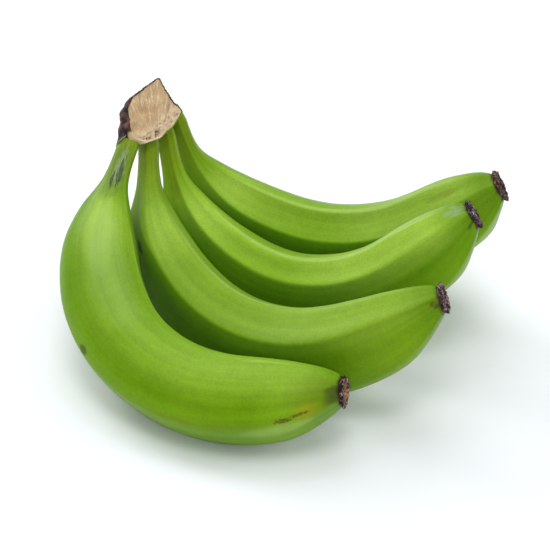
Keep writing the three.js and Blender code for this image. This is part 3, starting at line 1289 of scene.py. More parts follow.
@dataclass(frozen=True)
class CutFace:
    """Where the crown was cut from its stalk: a plane, and the outline of the cut in that plane."""

    centre: Triple = (-0.0709, 0.064, 0.100)
    normal: Triple = (0.55, -0.5, 0.67)
    outline: Tuple[Pair, ...] = (
        (0.016, 0.015), (0.006, 0.0135), (-0.0055, 0.0115), (-0.012, 0.0075),
        (-0.0175, -0.004), (-0.0175, -0.0085), (-0.012, -0.013), (-0.003, -0.014),
        (0.009, -0.0115), (0.019, -0.0065), (0.0165, 0.0), (0.016, 0.0075),
    )
    root: Pair = (-0.015, -0.030)
    rounding: float = 0.0008
    raggedness: float = 0.00035
    coarse_fray: float = 420
    fine_fray: float = 1300
    fine_share: float = 0.6
    least_reach: float = 0.004

    def axes(self) -> Tuple[Vector, Vector, Vector]:
        """How the face is turned.

        Returns:
            The ways across the face, up the face and out of it.
        """
        out = Vector(self.normal).normalized()
        across = Vector((0.0, 0.0, 1.0)).cross(out).normalized()
        return across, out.cross(across), out

    def spot(self, x: float, y: float, depth: float) -> Vector:
        """A place given across and up the face and down behind it."""
        across, up, out = self.axes()
        return Vector(self.centre) + across * x + up * y - out * depth

    def seen(self, spot: Vector) -> Triple:
        """How far a place is across and up the face and down behind it.

        Args:
            spot: The place.

        Returns:
            Its three distances.
        """
        across, up, out = self.axes()
        away = spot - Vector(self.centre)
        return away.dot(across), away.dot(up), -away.dot(out)

    def corners(self, count: int) -> List[Pair]:
        """Evenly spaced points of the outline, with its corners worn and its edge ragged.

        Args:
            count: How many points.

        Returns:
            The points, counter-clockwise from the peak.
        """
        knots = [Vector(knot) for knot in self.outline]
        knots.append(knots[0])
        lengths = [(b - a).length for a, b in zip(knots, knots[1:])]
        total = sum(lengths)

        def at(place: float) -> Vector:
            """A point of the sharp outline.

            Args:
                place: The length along the outline.

            Returns:
                The point there.
            """
            rest = place % total
            for start, end, length in zip(knots, knots[1:], lengths):
                if rest <= length:
                    return start.lerp(end, rest / length)
                rest -= length
            return knots[0]

        points = []
        neighbours = (-2, -1, 0, 1, 2)
        for k in range(count):
            place = total * k / count
            near = (at(place + self.rounding * step / 2) for step in neighbours)
            worn = sum(near, Vector((0.0, 0.0))) / len(neighbours)
            fray = flutter(place * self.coarse_fray, 3.0, 0.0)
            fray += self.fine_share * flutter(place * self.fine_fray, 8.0, 0.0)
            ragged = 1.0 + self.raggedness * fray / max(worn.length, self.least_reach)
            points.append(tuple(worn * ragged))
        return points


@dataclass(frozen=True)
class Crack:
    """A crevice in the cut face, from one point to another."""

    start: Pair
    end: Pair
    width: float
    depth: float
    fade: float = 0.5

    def cut(self, x: float, y: float) -> float:
        """How deep the crevice is.

        Args:
            x: Place across the face.
            y: Place up it.

        Returns:
            The depth there.
        """
        distance, share = off_line((x, y), self.start, self.end)
        away = distance / self.width
        return self.depth * math.exp(-away * away) * (1.0 - self.fade * share)


@dataclass(frozen=True)
class TornFlesh:
    """The relief of the cut face: fibres that fan out from its root, lumps, a ridge, crevices."""

    lumps: float = 0.0013
    lump_scale: float = 190
    fibres: float = 0.0006
    fibre_scales: Tuple[Pair, Pair] = ((40, 130), (95, 260))
    fine_share: float = 0.6
    chipping: float = 1.7
    chip_scale: float = 480
    ridge: float = 0.0016
    ridge_line: Tuple[Pair, Pair] = ((0.0153, 0.0155), (0.0045, -0.0060))
    ridge_width: float = 0.0045
    ridge_fade: float = 0.4
    rough_side: Pair = (-0.002, -0.010)
    rough_tilt: float = 0.25
    smooth_lumps: float = 0.7
    rough_fibres: float = 0.5
    cracks: Tuple[Crack, ...] = (
        Crack((0.0052, -0.0072), (0.0078, -0.0060), 0.0007, 0.0012),
        Crack((-0.0030, -0.0095), (0.0004, -0.0106), 0.0006, 0.0015),
        Crack((-0.0135, -0.0100), (-0.0085, -0.0115), 0.0005, 0.0012),
        Crack((-0.0115, -0.0075), (0.0060, 0.0040), 0.0012, 0.0005),
        Crack((0.0105, -0.0040), (0.0135, -0.0005), 0.0007, 0.0008),
        Crack((0.0020, -0.0070), (0.0040, -0.0095), 0.0005, 0.0011),
    )

    def height(self, face: CutFace, x: float, y: float) -> float:
        """How far the torn flesh stands out of the plane of the cut.

        Args:
            face: The cut face.
            x: Place across it.
            y: Place up it.

        Returns:
            The height, which is mostly below 1 mm.
        """
        reach = Vector((x - face.root[0], y - face.root[1]))
        turn = math.atan2(reach.y, reach.x)
        (round_1, out_1), (round_2, out_2) = self.fibre_scales
        strand = flutter(turn * round_1, reach.length * out_1, 1.0)
        strand += self.fine_share * flutter(turn * round_2, reach.length * out_2, 5.0)
        swell = flutter(x * self.lump_scale, y * self.lump_scale, 2.0)
        chips = abs(flutter(x * self.chip_scale, y * self.chip_scale, 7.0))
        rough = ease(y - x * self.rough_tilt, self.rough_side)
        distance, share = off_line((x, y), *self.ridge_line)
        slope = max(0.0, 1.0 - distance / self.ridge_width)
        relief = self.ridge * slope * (1.0 - share * self.ridge_fade)
        relief += (
            self.lumps * swell * (self.smooth_lumps + rough)
            + self.fibres * strand * (1.0 + self.rough_fibres * rough)
        )
        relief -= self.lumps * self.chipping * rough * chips
        return relief - sum(crack.cut(x, y) for crack in self.cracks)


@dataclass(frozen=True)
class CrownRind:
    """The side of the crown: how it leans back from the cut, and the dried lip round the cut.

    The rind is dry above a height on the left of the cut, which sinks behind the lip, and above
    another height on its right, where a corner stays dry as well.
    """

    depths: Tuple[float, ...] = (0.0, 0.0015, 0.006, 0.013, 0.020, 0.024)
    wide: Tuple[float, ...] = (1.0, 1.03, 1.08, 0.94, 0.62, 0.30)
    high: Tuple[float, ...] = (1.0, 1.0, 0.89, 0.73, 0.52, 0.28)
    aside: Tuple[float, ...] = (0.0, -0.0006, -0.0004, 0.0048, 0.0119, 0.0149)
    upward: Tuple[float, ...] = (0.0, 0.0002, 0.0005, -0.0013, -0.0032, -0.0056)
    wrinkle: float = 0.00035
    wrinkle_scales: Pair = (330, 60)
    wrinkle_start: Pair = (0.0, 0.003)
    lip: float = 0.0006
    lip_width: float = 0.00045
    lip_fray: float = 900
    lip_teeth: Pair = (0.5, 1.6)
    fresh_lip: float = 0.15
    dry_left: float = -0.0045
    dry_left_sink: float = 0.0055
    sink_span: Pair = (0.0005, 0.004)
    dry_right: float = -0.001
    dry_corner: float = 0.0060
    corner_side: Pair = (0.009, 0.013)
    corner_depth: Pair = (0.0050, 0.0030)
    dry_stray: float = 0.0022
    stray_scales: Pair = (260, 120)
    dry_edge: Pair = (-0.0010, 0.0010)

    def profile(self, depth: float) -> Tuple[float, float, float, float]:
        """How the outline is drawn in and shifted behind the cut.

        Args:
            depth: How far behind it.

        Returns:
            The share of its width and height that is left, and its shifts across and up.
        """
        wide, high, aside, upward = (
            through(list(zip(self.depths, values)), depth)
            for values in (self.wide, self.high, self.aside, self.upward)
        )
        return wide, high, aside, upward

    def dryness(self, x: float, y: float, depth: float = 0.0) -> float:
        """How far the rind has dried: 1 at the peak and the left side, 0 at the lower right.

        Args:
            x: Place across the cut face.
            y: Place up it.
            depth: How far behind it.

        Returns:
            The dryness, from 0 to 1.
        """
        fine, deep = self.stray_scales
        stray = self.dry_stray * flutter(x * fine, y * fine, depth * deep)
        sunk = self.dry_left - self.dry_left_sink * ease(depth, self.sink_span)
        limit = sunk if x < 0.0 else self.dry_right
        limit -= self.dry_corner * ease(x, self.corner_side) * ease(depth, self.corner_depth)
        return ease(y + stray - limit, self.dry_edge)

    def wall(self, corner: Pair, depth: float) -> RingPoint:
        """A point on the side of the wedge.

        Args:
            corner: The corner of the outline that it is behind.
            depth: How far behind the cut it is.

        Returns:
            Its place as the cut face sees it, and what its finish follows.
        """
        wide, high, aside, upward = self.profile(depth)
        x, y = corner
        fine, deep = self.wrinkle_scales
        crease = flutter(x * fine, y * fine, depth * deep) * self.wrinkle
        crease *= ease(depth, self.wrinkle_start)
        worn = 1.0 + crease / max(math.hypot(x, y), CutFace.least_reach)
        spot = (x * wide * worn + aside, y * high * worn + upward, depth)
        return spot, (1.0, self.dryness(x, y, depth), 0.0)

    def lip_point(self, corner: Pair, inset: float, rise: float, rind: float) -> RingPoint:
        """A point on the dried lip round the cut.

        Args:
            corner: The corner of the outline that it is at.
            inset: How many widths of the lip it is inside the outline.
            rise: The share of the lip's height that it stands up.
            rind: How much of it is rind and not flesh.

        Returns:
            Its place as the cut face sees it, and what its finish follows.
        """
        x, y = corner
        dry = self.dryness(x, y)
        share = 1.0 - inset * self.lip_width / math.hypot(x, y)
        gap, tooth = self.lip_teeth
        frayed = gap + abs(flutter(x * self.lip_fray, y * self.lip_fray, 6.0)) * tooth
        height = self.lip * rise * (self.fresh_lip + (1.0 - self.fresh_lip) * dry) * frayed
        return (x * share, y * share, -height), (rind, dry, 0.0)


@dataclass(frozen=True)
class RindStrip:
    """A strip of dried rind that reaches down over the stalk of the near fruit, to a torn end."""

    angles: Pair = (88, 215)
    top: float = -0.010
    end: float = 0.0030
    short_side: float = 0.0035
    short_span: Pair = (0.35, 0.0)
    tear: float = 0.0016
    tear_scales: Pair = (0.11, 0.4)
    torn_edge: Pair = (0.0009, 0.0002)
    lift: float = 0.0004
    swell: float = 0.0017
    swollen: Pair = (-0.0005, 0.0060)
    crease: float = 0.0003
    crease_scales: Pair = (0.12, 400)
    thickness: float = 0.0007
    rows: int = 46
    columns: int = 60

    def torn_end(self, angle: float, column: float) -> float:
        """How far down the stalk the torn end is.

        Args:
            angle: The angle round the stalk.
            column: Place across the strip, from 0 to 1.

        Returns:
            The distance from the start of the fruit.
        """
        coarse, fine = self.tear_scales
        tooth = flutter(angle * coarse, 1.0, 0.0) + 0.5 * flutter(angle * fine, 2.0, 0.0)
        return self.end - self.short_side * ease(column, self.short_span) + self.tear * tooth

    def off_stalk(self, stalk: float, angle: float, place: float) -> float:
        """How far the outside of the strip is from the middle of the stalk.

        Args:
            stalk: The stalk's radius.
            angle: The angle round the stalk.
            place: Place down the stalk.

        Returns:
            The distance.
        """
        around, down = self.crease_scales
        lift = self.lift + self.swell * ease(-place, self.swollen)
        return stalk + lift + self.crease * flutter(angle * around, place * down, 3.0)

    def rings(self, face: CutFace) -> List[Ring]:
        """Rings round the section of the strip, from its top down to its torn end.

        Args:
            face: The cut face, which the places are seen from.

        Returns:
            The rings, each of which runs out over the strip and back under it.
        """
        fruit = FRUITS[0]
        forward, across = fruit.forward(0.0), fruit.plane()[2]
        inward = across.cross(forward)
        stalk = fruit.radius * FruitSkin.girth[0][1]
        over = [(step / self.columns, 0.0) for step in range(self.columns + 1)]
        under = [(1.0 - step / self.columns, self.thickness) for step in range(self.columns + 1)]
        rings = []
        for row in range(self.rows + 1):
            ring = []
            for column, sunk in over + under:
                angle = self.angles[0] + (self.angles[1] - self.angles[0]) * column
                end = self.torn_end(angle, column)
                place = self.top + (end - self.top) * row / self.rows
                reach = self.off_stalk(stalk, angle, place) - sunk
                turn = math.radians(angle)
                spot = Vector(fruit.base) + forward * place
                spot += (inward * math.cos(turn) + across * math.sin(turn)) * reach
                torn = ease(end - place, self.torn_edge)
                ring.append((face.seen(spot), (1.0 + torn, 1.0, 0.0)))
            rings.append(ring)
        return rings


@dataclass(frozen=True)
class DriedCrown:
    """Cut flesh, dried rind and fresh rind.

    Its colours come first, then its patterns, then where each colour shows, and last its bumps.
    """

    flesh: Triple = (0.640, 0.455, 0.260)
    pale: Triple = (0.860, 0.700, 0.490)
    tan: Triple = (0.500, 0.325, 0.170)
    # painted shade in the crevices of the torn flesh
    crevice_shade: Triple = (0.220, 0.125, 0.060)
    rind: Triple = (0.085, 0.045, 0.035)
    rind_dark: Triple = (0.020, 0.012, 0.012)
    rind_warm: Triple = (0.200, 0.080, 0.050)
    rind_edge: Triple = (0.380, 0.340, 0.240)
    fresh: Triple = (0.190, 0.310, 0.014)
    olive: Triple = (0.230, 0.250, 0.035)

    strand: Pattern = Pattern(1.0, 2.0, 1.0, (40.0, 110.0, 200.0))
    hair: Pattern = Pattern(1.0, 2.0, 2.0, (130.0, 300.0, 200.0))
    patch: Pattern = Pattern(150, 2.0, 3.0)
    grain: Pattern = Pattern(1400, 2.0, 4.0)
    smear: Pattern = Pattern(420, 2.0, 5.0, (1.0, 1.0, 0.35))
    warm_smear: Pattern = Pattern(300, 2.0, 6.0, (1.0, 1.0, 0.3))
    edge_fray: Pattern = Pattern(900, 2.0, 8.0)
    bare_fray: Pattern = Pattern(500, 2.0, 9.0)

    tan_patches: Wash = Wash(0.38, 0.66)
    pale_strands: Wash = Wash(0.50, 0.72, 0.75)
    tan_hairs: Wash = Wash(0.48, 0.32, 0.70)
    torn_side: Wash = Wash(-0.001, -0.009, 0.6)
    torn_tilt: float = 0.25
    # how deep the relief must sink for the painted shade in the crevices
    crevice_shading: Wash = Wash(-0.0004, -0.0020)
    rind_smears: Wash = Wash(0.42, 0.60)
    warm_smears: Wash = Wash(0.54, 0.68, 0.8)
    olive_patches: Wash = Wash(0.35, 0.65, 0.5)
    frayed_end: Wash = Wash(1.2, 1.9, 0.8)
    husk_edge: Wash = Wash(0.35, 0.6)
    husk_stray: float = 0.5
    bare_lip: Wash = Wash(0.0036, 0.0026)
    bare_left: Wash = Wash(0.002, -0.002)
    bare_stray: float = 0.0016

    grain_light: float = 0.60
    bump_heights: Triple = (0.6, 0.8, 0.6)
    smear_height: float = 0.8
    roughness: float = 0.80
    husk_smoothness: float = 0.2
    gloss: Gloss = Gloss(density=1.45, shine=0.25, bump=0.7, depth=0.0004)

    def material(self, face: CutFace) -> bpy.types.Material:
        """The finish of the crown, which follows what is stored on its points.

        Args:
            face: The cut face, whose fibres fan out from its root.

        Returns:
            The material.
        """
        g, material = Graph.shader("cut crown")
        inside = g.make("ShaderNodeTexCoord", {}, "Object")
        x, y, depth = g.parts(g.stored("crown_place"))
        rind, dry, pit = g.parts(g.stored("crown_skin"))

        reach_x, reach_y = x - face.root[0], y - face.root[1]
        turn = g.math("ARCTAN2", reach_y, reach_x)
        reach = g.math("SQRT", reach_x * reach_x + reach_y * reach_y)
        fan = g.xyz(turn, reach, pit)
        strand, hair = self.strand.over(g, fan), self.hair.over(g, fan)
        patch, grain, smear, warm_smear, edge_fray, bare_fray = (
            pattern.over(g, inside)
            for pattern in (
                self.patch, self.grain, self.smear, self.warm_smear, self.edge_fray, self.bare_fray
            )
        )

        flesh = self.tan_patches.over(g, patch, self.flesh, self.tan)
        flesh = self.pale_strands.over(g, strand, flesh, self.pale)
        flesh = self.tan_hairs.over(g, hair, flesh, self.tan)
        flesh = self.torn_side.over(g, y - x * self.torn_tilt, flesh, self.pale)
        # painted shade, darker where the torn flesh sinks into crevices
        flesh = self.crevice_shading.over(g, pit, flesh, self.crevice_shade)

        dried = self.rind_smears.over(g, smear, self.rind_dark, self.rind)
        dried = self.warm_smears.over(g, warm_smear, dried, self.rind_warm)
        fresh = self.olive_patches.over(g, patch, self.fresh, self.olive)
        husk = g.blend(dry, fresh, dried)
        husk = self.frayed_end.over(g, rind, husk, self.rind_edge)
        cover = self.husk_edge.cover(g, g.uneven(rind, (edge_fray,), (self.husk_stray,)))
        bare = self.bare_lip.cover(g, g.uneven(depth, (bare_fray,), (self.bare_stray,)))
        bare = bare * self.bare_left.cover(g, x)
        cover = cover * (1.0 - bare * (1.0 - dry))
        colour = g.blend(cover, flesh, husk)
        colour = g.lit(colour, g.uneven(1.0, (grain,), (self.grain_light,)))

        bumps = g.uneven(0.0, (strand, hair, grain), self.bump_heights)
        bumps = bumps + smear * cover * self.smear_height
        g.coat(colour, self.roughness - cover * self.husk_smoothness, bumps, self.gloss)
        return material


@dataclass(frozen=True)
class Strands:
    """One kind of torn strand: how many to the square metre, and how they lie and look."""

    density: float
    stray: float
    lengths: Pair
    radius: float


@dataclass(frozen=True)
class Fibres:
    """Torn strands and scraps that stand on the cut face and along its dried edge."""

    strands: Strands = Strands(420_000, stray=0.22, lengths=(0.0010, 0.0032), radius=0.00015)
    scraps: Strands = Strands(500_000, stray=0.8, lengths=(0.0005, 0.0014), radius=0.00034)
    lift: float = 0.08
    curl: float = 0.35
    flesh: Pair = (0.4, 0.0)
    edge: Band = (0.5, 0.9, 0.95, 1.0)
    sides: int = 5
    stretches: int = 4
    point: float = 0.15

    def tree(self, face: CutFace) -> bpy.types.NodeTree:
        """The geometry tree that grows them on the crown that it is given.

        Args:
            face: The cut face, whose fibres fan out from its root.

        Returns:
            The tree.
        """
        inputs = {
            "Geometry": "Geometry", "Skin": "Material", "Strands": "Float", "Scraps": "Float",
            "Seed": "Int",
        }
        g = Graph.geometry("torn fibres", inputs)
        crown, seed = g.given("Geometry"), g.given("Seed")
        (x, y, _), (rind, dry, _) = (
            g.parts(
                g.make("GeometryNodeInputNamedAttribute", {"Name": name}, data_type="FLOAT_VECTOR")
            )
            for name in ("crown_place", "crown_skin")
        )
        across, up, out = (tuple(axis) for axis in face.axes())
        fan = g.vector("NORMALIZE", across * (x - face.root[0]) + up * (y - face.root[1]))
        flesh = g.rise(rind, *self.flesh)
        strands = self.grown(
            g, self.strands, flesh * g.given("Strands"), seed,
            fan + tuple(self.lift * part for part in out),
        )
        edge = g.band(rind, self.edge) * dry
        scraps = self.grown(
            g, self.scraps, edge * g.given("Scraps"), seed + 1.0,
            g.make("GeometryNodeInputNormal", {}),
        )
        return g.deliver(g.join(scraps, strands, crown), g.given("Skin"))

    def grown(self, g: Graph, kind: Strands, density: Term, seed: Term, along: Term) -> Term:
        """Many small curled strands on the crown.

        Args:
            g: The graph that they are added to.
            kind: The kind of strand.
            density: How many there are to the square metre, from place to place.
            seed: Picks their places.
            along: The way that they run.

        Returns:
            The strands as instances.
        """
        ground = {"Mesh": g.given("Geometry"), "Density": density, "Seed": seed}
        spots = g.make("GeometryNodeDistributePointsOnFaces", ground, "Points")
        wander = g.make(
            "FunctionNodeRandomValue", {"Min": (-1.0,) * 3, "Max": (1.0,) * 3, "Seed": seed + 2.0},
            data_type="FLOAT_VECTOR",
        )
        turned = g.make(
            "FunctionNodeAlignRotationToVector", {"Vector": along + wander * kind.stray}, axis="Z"
        )
        length, girth = (
            g.make("FunctionNodeRandomValue", {"Min": least, "Max": most, "Seed": seed + number})
            for least, most, number in ((*kind.lengths, 3.0), (kind.radius * 0.5, kind.radius, 4.0))
        )
        curl = (self.curl * kind.lengths[1] / kind.radius, 0.0)
        strand = g.sprig(self.sides, self.stretches, self.point, curl)
        return g.make(
            "GeometryNodeInstanceOnPoints",
            {
                "Points": spots, "Instance": strand, "Rotation": turned,
                "Scale": g.xyz(girth, girth, length),
            },
        )


@dataclass
class Crown:
    """The wedge that the stalks grow out of, from its back up to the torn face of the cut."""

    face: CutFace = CutFace()
    flesh: TornFlesh = TornFlesh()
    rind: CrownRind = CrownRind()
    strip: RindStrip = RindStrip()
    fibres: Fibres = Fibres()
    finish: DriedCrown = DriedCrown()
    sides: int = 220
    wall_rings: int = 40
    wall_spacing: float = 1.3
    face_rings: int = 70
    face_share: float = 0.93
    lip_steps: Tuple[Triple, ...] = ((0.0, 1.0, 0.8), (1.0, 0.8, 0.8), (2.0, 0.1, 0.3))
    seed: int = 4

    def build(self) -> List[bpy.types.Object]:
        """Makes the crown and puts it in place of its solid.

        Returns:
            The finished crown.
        """
        values = {
            "Skin": self.finish.material(self.face), "Strands": self.fibres.strands.density,
            "Scraps": self.fibres.scraps.density, "Seed": self.seed,
        }
        piece = grow("cut_crown", self.fibres.tree(self.face), self.body(), values)
        return [install(piece, ["crown"])]

    def body(self) -> bpy.types.Mesh:
        """The wedge and the strip of rind, with what their finish follows stored on their points.

        Returns:
            The mesh.
        """
        spots: List[Vector] = []
        faces: List[Tuple[int, ...]] = []
        places: List[Triple] = []
        skins: List[Triple] = []
        for patch in (self.wedge_rings(), self.strip.rings(self.face)):
            first, sides = len(spots), len(patch[0])
            for ring in patch:
                for place, skin in ring:
                    spots.append(self.face.spot(*place))
                    places.append(place)
                    skins.append(skin)
            for row in range(len(patch) - 1):
                for side in range(sides):
                    a = first + row * sides + side
                    b = first + row * sides + (side + 1) % sides
                    faces.append((a, b, b + sides, a + sides))
            faces.append(tuple(first + side for side in reversed(range(sides))))
            faces.append(tuple(first + (len(patch) - 1) * sides + side for side in range(sides)))
        mesh = bpy.data.meshes.new("crown body")
        mesh.from_pydata(spots, [], faces)
        mesh.polygons.foreach_set("use_smooth", [True] * len(faces))
        for name, values in (("crown_place", places), ("crown_skin", skins)):
            layer = mesh.attributes.new(name, "FLOAT_VECTOR", "POINT")
            layer.data.foreach_set("vector", [part for value in values for part in value])
        return mesh

    def wedge_rings(self) -> List[Ring]:
        """Rings of the wedge from its back up its side, over the lip and in across the cut face.

        Returns:
            The rings, all with the same number of points.
        """
        corners = self.face.corners(self.sides)
        rings = []
        for step in range(self.wall_rings):
            depth = self.rind.depths[-1] * (1.0 - step / self.wall_rings) ** self.wall_spacing
            rings.append([self.rind.wall(corner, depth) for corner in corners])
        for inset, rise, rind in self.lip_steps:
            rings.append([self.rind.lip_point(corner, inset, rise, rind) for corner in corners])
        for step in range(1, self.face_rings):
            share = (1.0 - step / self.face_rings) * self.face_share
            inner = [(x * share, y * share) for x, y in corners]
            heights = [self.flesh.height(self.face, x, y) for x, y in inner]
            rings.append([((x, y, -up), (0.0, 0.0, up)) for (x, y), up in zip(inner, heights)])
        return rings


# ---- Blossom ends ----------------------------------------------------------------------------


@dataclass(frozen=True)
class DriedTone:
    """Colours of a dried blossom: its side, its edge, its hollow and its painted glints."""

    side: Triple
    edge: Triple
    hollow: Triple
    glint: Triple


class BlossomTone(Enum):
    """How the blossom ends have dried, from the near fruit to the far one."""

    CHARRED = DriedTone(
        side=(0.012, 0.010, 0.012), edge=(0.380, 0.240, 0.170),
        hollow=(0.300, 0.130, 0.055), glint=(0.500, 0.360, 0.280),
    )
    UMBER = DriedTone(
        side=(0.100, 0.045, 0.038), edge=(0.420, 0.300, 0.290),
        hollow=(0.045, 0.028, 0.035), glint=(0.560, 0.460, 0.430),
    )
    PLUM = DriedTone(
        side=(0.050, 0.025, 0.028), edge=(0.300, 0.200, 0.200),
        hollow=(0.100, 0.035, 0.070), glint=(0.620, 0.600, 0.600),
    )
    SOOT = DriedTone(
        side=(0.110, 0.065, 0.060), edge=(0.240, 0.115, 0.035),
        hollow=(0.014, 0.009, 0.011), glint=(0.460, 0.390, 0.370),
    )


@dataclass(frozen=True)
class Blossom:
    """The dried flower on one fruit: how it has dried, how far it bulges and how it is pinched."""

    tone: BlossomTone
    length: float
    waist: float
    waist_angle: float
    shreds: int


BLOSSOMS = (
    Blossom(BlossomTone.CHARRED, length=0.0016, waist=0.06, waist_angle=0, shreds=10),
    Blossom(BlossomTone.UMBER, length=0.0018, waist=0.12, waist_angle=40, shreds=12),
    Blossom(BlossomTone.PLUM, length=0.0018, waist=0.16, waist_angle=60, shreds=11),
    Blossom(BlossomTone.SOOT, length=0.0021, waist=0.08, waist_angle=20, shreds=12),
)


@dataclass(frozen=True)
class BlossomCup:
    """The shape of every dried blossom end: a crumpled, lobed cup with shreds round its rim.

    Its section comes first, then its folds and crumples, then its shreds, whose ranges of chance
    are their turn, how far out and how far up they stand, their length and their tone.
    """

    reach: Tuple[Pair, ...] = (
        (0, 0.84), (0.12, 0.97), (0.25, 1.02), (0.38, 1.00), (0.47, 0.90), (0.56, 0.74),
        (0.72, 0.48), (0.88, 0.22), (1, 0.02),
    )
    reach_range: Pair = (0.0, 1.2)
    rise: Tuple[Pair, ...] = (
        (0, -0.45), (0.12, 0.05), (0.25, 0.50), (0.38, 0.88), (0.47, 1.0), (0.56, 0.86),
        (0.72, 0.45), (0.88, 0.38), (1, 0.60),
    )
    rise_range: Pair = (-0.6, 1.2)
    curve_points: int = 48
    sides: int = 110
    rings: int = 60

    lobes: int = 5
    folds: int = 3
    lobe_height: float = 0.07
    fold_share: float = 0.6
    lumps: Pattern = Pattern(1.6, 3.0)
    creases: Pattern = Pattern(4.5, 2.0, 3.0, (1.0, 1.0, 0.35))
    crease_share: float = 1.4
    crumple: float = 0.22
    crumple_level: float = 0.12
    length_scale: float = 2.5
    tears: Pattern = Pattern(3.5, 3.0, 6.0)
    rim_tear: float = 0.55
    free_span: Pair = (0.0, 0.25)

    shred_chances: Tuple[Pair, ...] = (
        (0.0, 0.6), (0.30, 0.95), (0.25, 0.85), (0.0006, 0.0016), (0.0, 1.0)
    )
    chance_seed: int = 11
    lean_seed: int = 21
    shred_lean: float = 0.7
    shred_way: Pair = (0.7, 0.6)
    shred_width: float = 0.0009
    shred_thickness: float = 0.00025
    shred_sides: int = 6
    shred_stretches: int = 5
    shred_point: float = 0.25
    shred_curl: float = 2.4
    shred_mark: float = 2.0

    def tree(self) -> bpy.types.NodeTree:
        """The geometry tree of a blossom end.

        Returns:
            The tree, whose inputs place and size one blossom.
        """
        inputs = {"Geometry": "Geometry"}
        inputs |= {name: "Vector" for name in ("Forward", "Inward", "Across")}
        inputs |= {name: "Float" for name in ("Radius", "Length", "Waist", "Waist Angle", "Seed")}
        inputs |= {"Shreds": "Int", "Skin": "Material"}
        g = Graph.geometry("blossom end", inputs)
        x, y, z = g.parts(g.make("GeometryNodeInputPosition", {}))
        rim = g.math("SQRT", x * x + y * y)
        angle, along = g.math("ARCTAN2", y, x), z + 0.5
        reach, lift = self.bend(g, angle, along)
        spot = self.place(g, angle, reach * rim, lift)
        cup = g.store(g.tube(self.sides, self.rings), "cup_place", g.around(angle, along))
        cup = g.make("GeometryNodeSetPosition", {"Geometry": cup, "Position": spot})
        smooth = g.make("GeometryNodeSetShadeSmooth", {"Geometry": cup, "Shade Smooth": True})
        return g.deliver(g.join(self.shreds(g), smooth), g.given("Skin"))

    def bend(self, g: Graph, angle: Term, along: Term) -> Tuple[Term, Term]:
        """How far out and how far up the cup is.

        Args:
            g: The graph of the blossom.
            angle: The angle round it.
            along: Place from its foot, over its rim and in to its middle.

        Returns:
            The reach and the lift, in metres.
        """
        seed = g.given("Seed")
        on_cup = g.around(angle, along * self.length_scale)
        lumps = self.lumps.over(g, on_cup, seed) - 0.5
        creases = g.math("ABSOLUTE", self.creases.over(g, on_cup, seed) - 0.5)
        lobes = g.math("COSINE", angle * float(self.lobes) + seed) * self.lobe_height
        folds = g.math("SINE", angle * float(self.folds) - seed)
        folds = folds * (self.lobe_height * self.fold_share)
        pinch = g.math("COSINE", (angle - g.given("Waist Angle")) * 2.0) * g.given("Waist")
        crumples = lumps - creases * self.crease_share + self.crumple_level
        free = g.rise(along, *self.free_span)
        wave = (lobes + folds + crumples * (self.crumple * 2.0)) * free
        reach = g.curve(along, self.reach, self.curve_points, self.reach_range)
        reach = g.given("Radius") * reach * (1.0 + pinch + wave)
        torn = self.tears.over(g, g.around(angle, 0.0), seed) - 0.5
        height = g.curve(along, self.rise, self.curve_points, self.rise_range)
        height = height * (1.0 + torn * (self.rim_tear * 2.0) * free)
        return reach, (height + (lumps - creases) * 0.5 * free) * g.given("Length")

    @staticmethod
    def place(g: Graph, angle: Term, reach: Feed, lift: Feed) -> Term:
        """A place round the end of the fruit.

        Args:
            g: The graph of the blossom.
            angle: The angle round the fruit.
            reach: How far out from its centre line.
            lift: How far past its end.

        Returns:
            The place, seen from the end of the fruit.
        """
        inward, across, forward = g.given("Inward"), g.given("Across"), g.given("Forward")
        out = inward * (g.math("COSINE", angle) * reach) + across * (g.math("SINE", angle) * reach)
        return out + forward * lift

    def shreds(self, g: Graph) -> Term:
        """Dried stubs of the flower round the rim of the cup.

        Args:
            g: The graph of the blossom.

        Returns:
            The shreds as instances.
        """
        number, count = g.make("GeometryNodeInputIndex", {}), g.given("Shreds")
        turned_by, out, up, length, tone = (
            g.make("FunctionNodeRandomValue", {"Min": low, "Max": high, "Seed": seed})
            for seed, (low, high) in enumerate(self.shred_chances, start=self.chance_seed)
        )
        angle = number * (math.tau / count) + turned_by + g.given("Seed")
        spot = self.place(g, angle, g.given("Radius") * out, g.given("Length") * up)
        points = g.make("GeometryNodePoints", {"Count": count, "Position": spot}, "Points")
        lean = g.make(
            "FunctionNodeRandomValue",
            {"Min": (-self.shred_lean,) * 3, "Max": (self.shred_lean,) * 3, "Seed": self.lean_seed},
            data_type="FLOAT_VECTOR",
        )
        way = self.place(g, angle, *self.shred_way) + lean
        turned = g.make("FunctionNodeAlignRotationToVector", {"Vector": way}, axis="Z")
        curl = (0.0, self.shred_curl)
        shred = g.sprig(self.shred_sides, self.shred_stretches, self.shred_point, curl)
        shreds = g.make(
            "GeometryNodeInstanceOnPoints",
            {
                "Points": points, "Instance": shred, "Rotation": turned,
                "Scale": g.xyz(self.shred_width, self.shred_thickness, length),
            },
        )
        mark = g.xyz(0.0, 0.0, self.shred_mark + tone)
        return g.store(shreds, "cup_place", mark, on="INSTANCE")


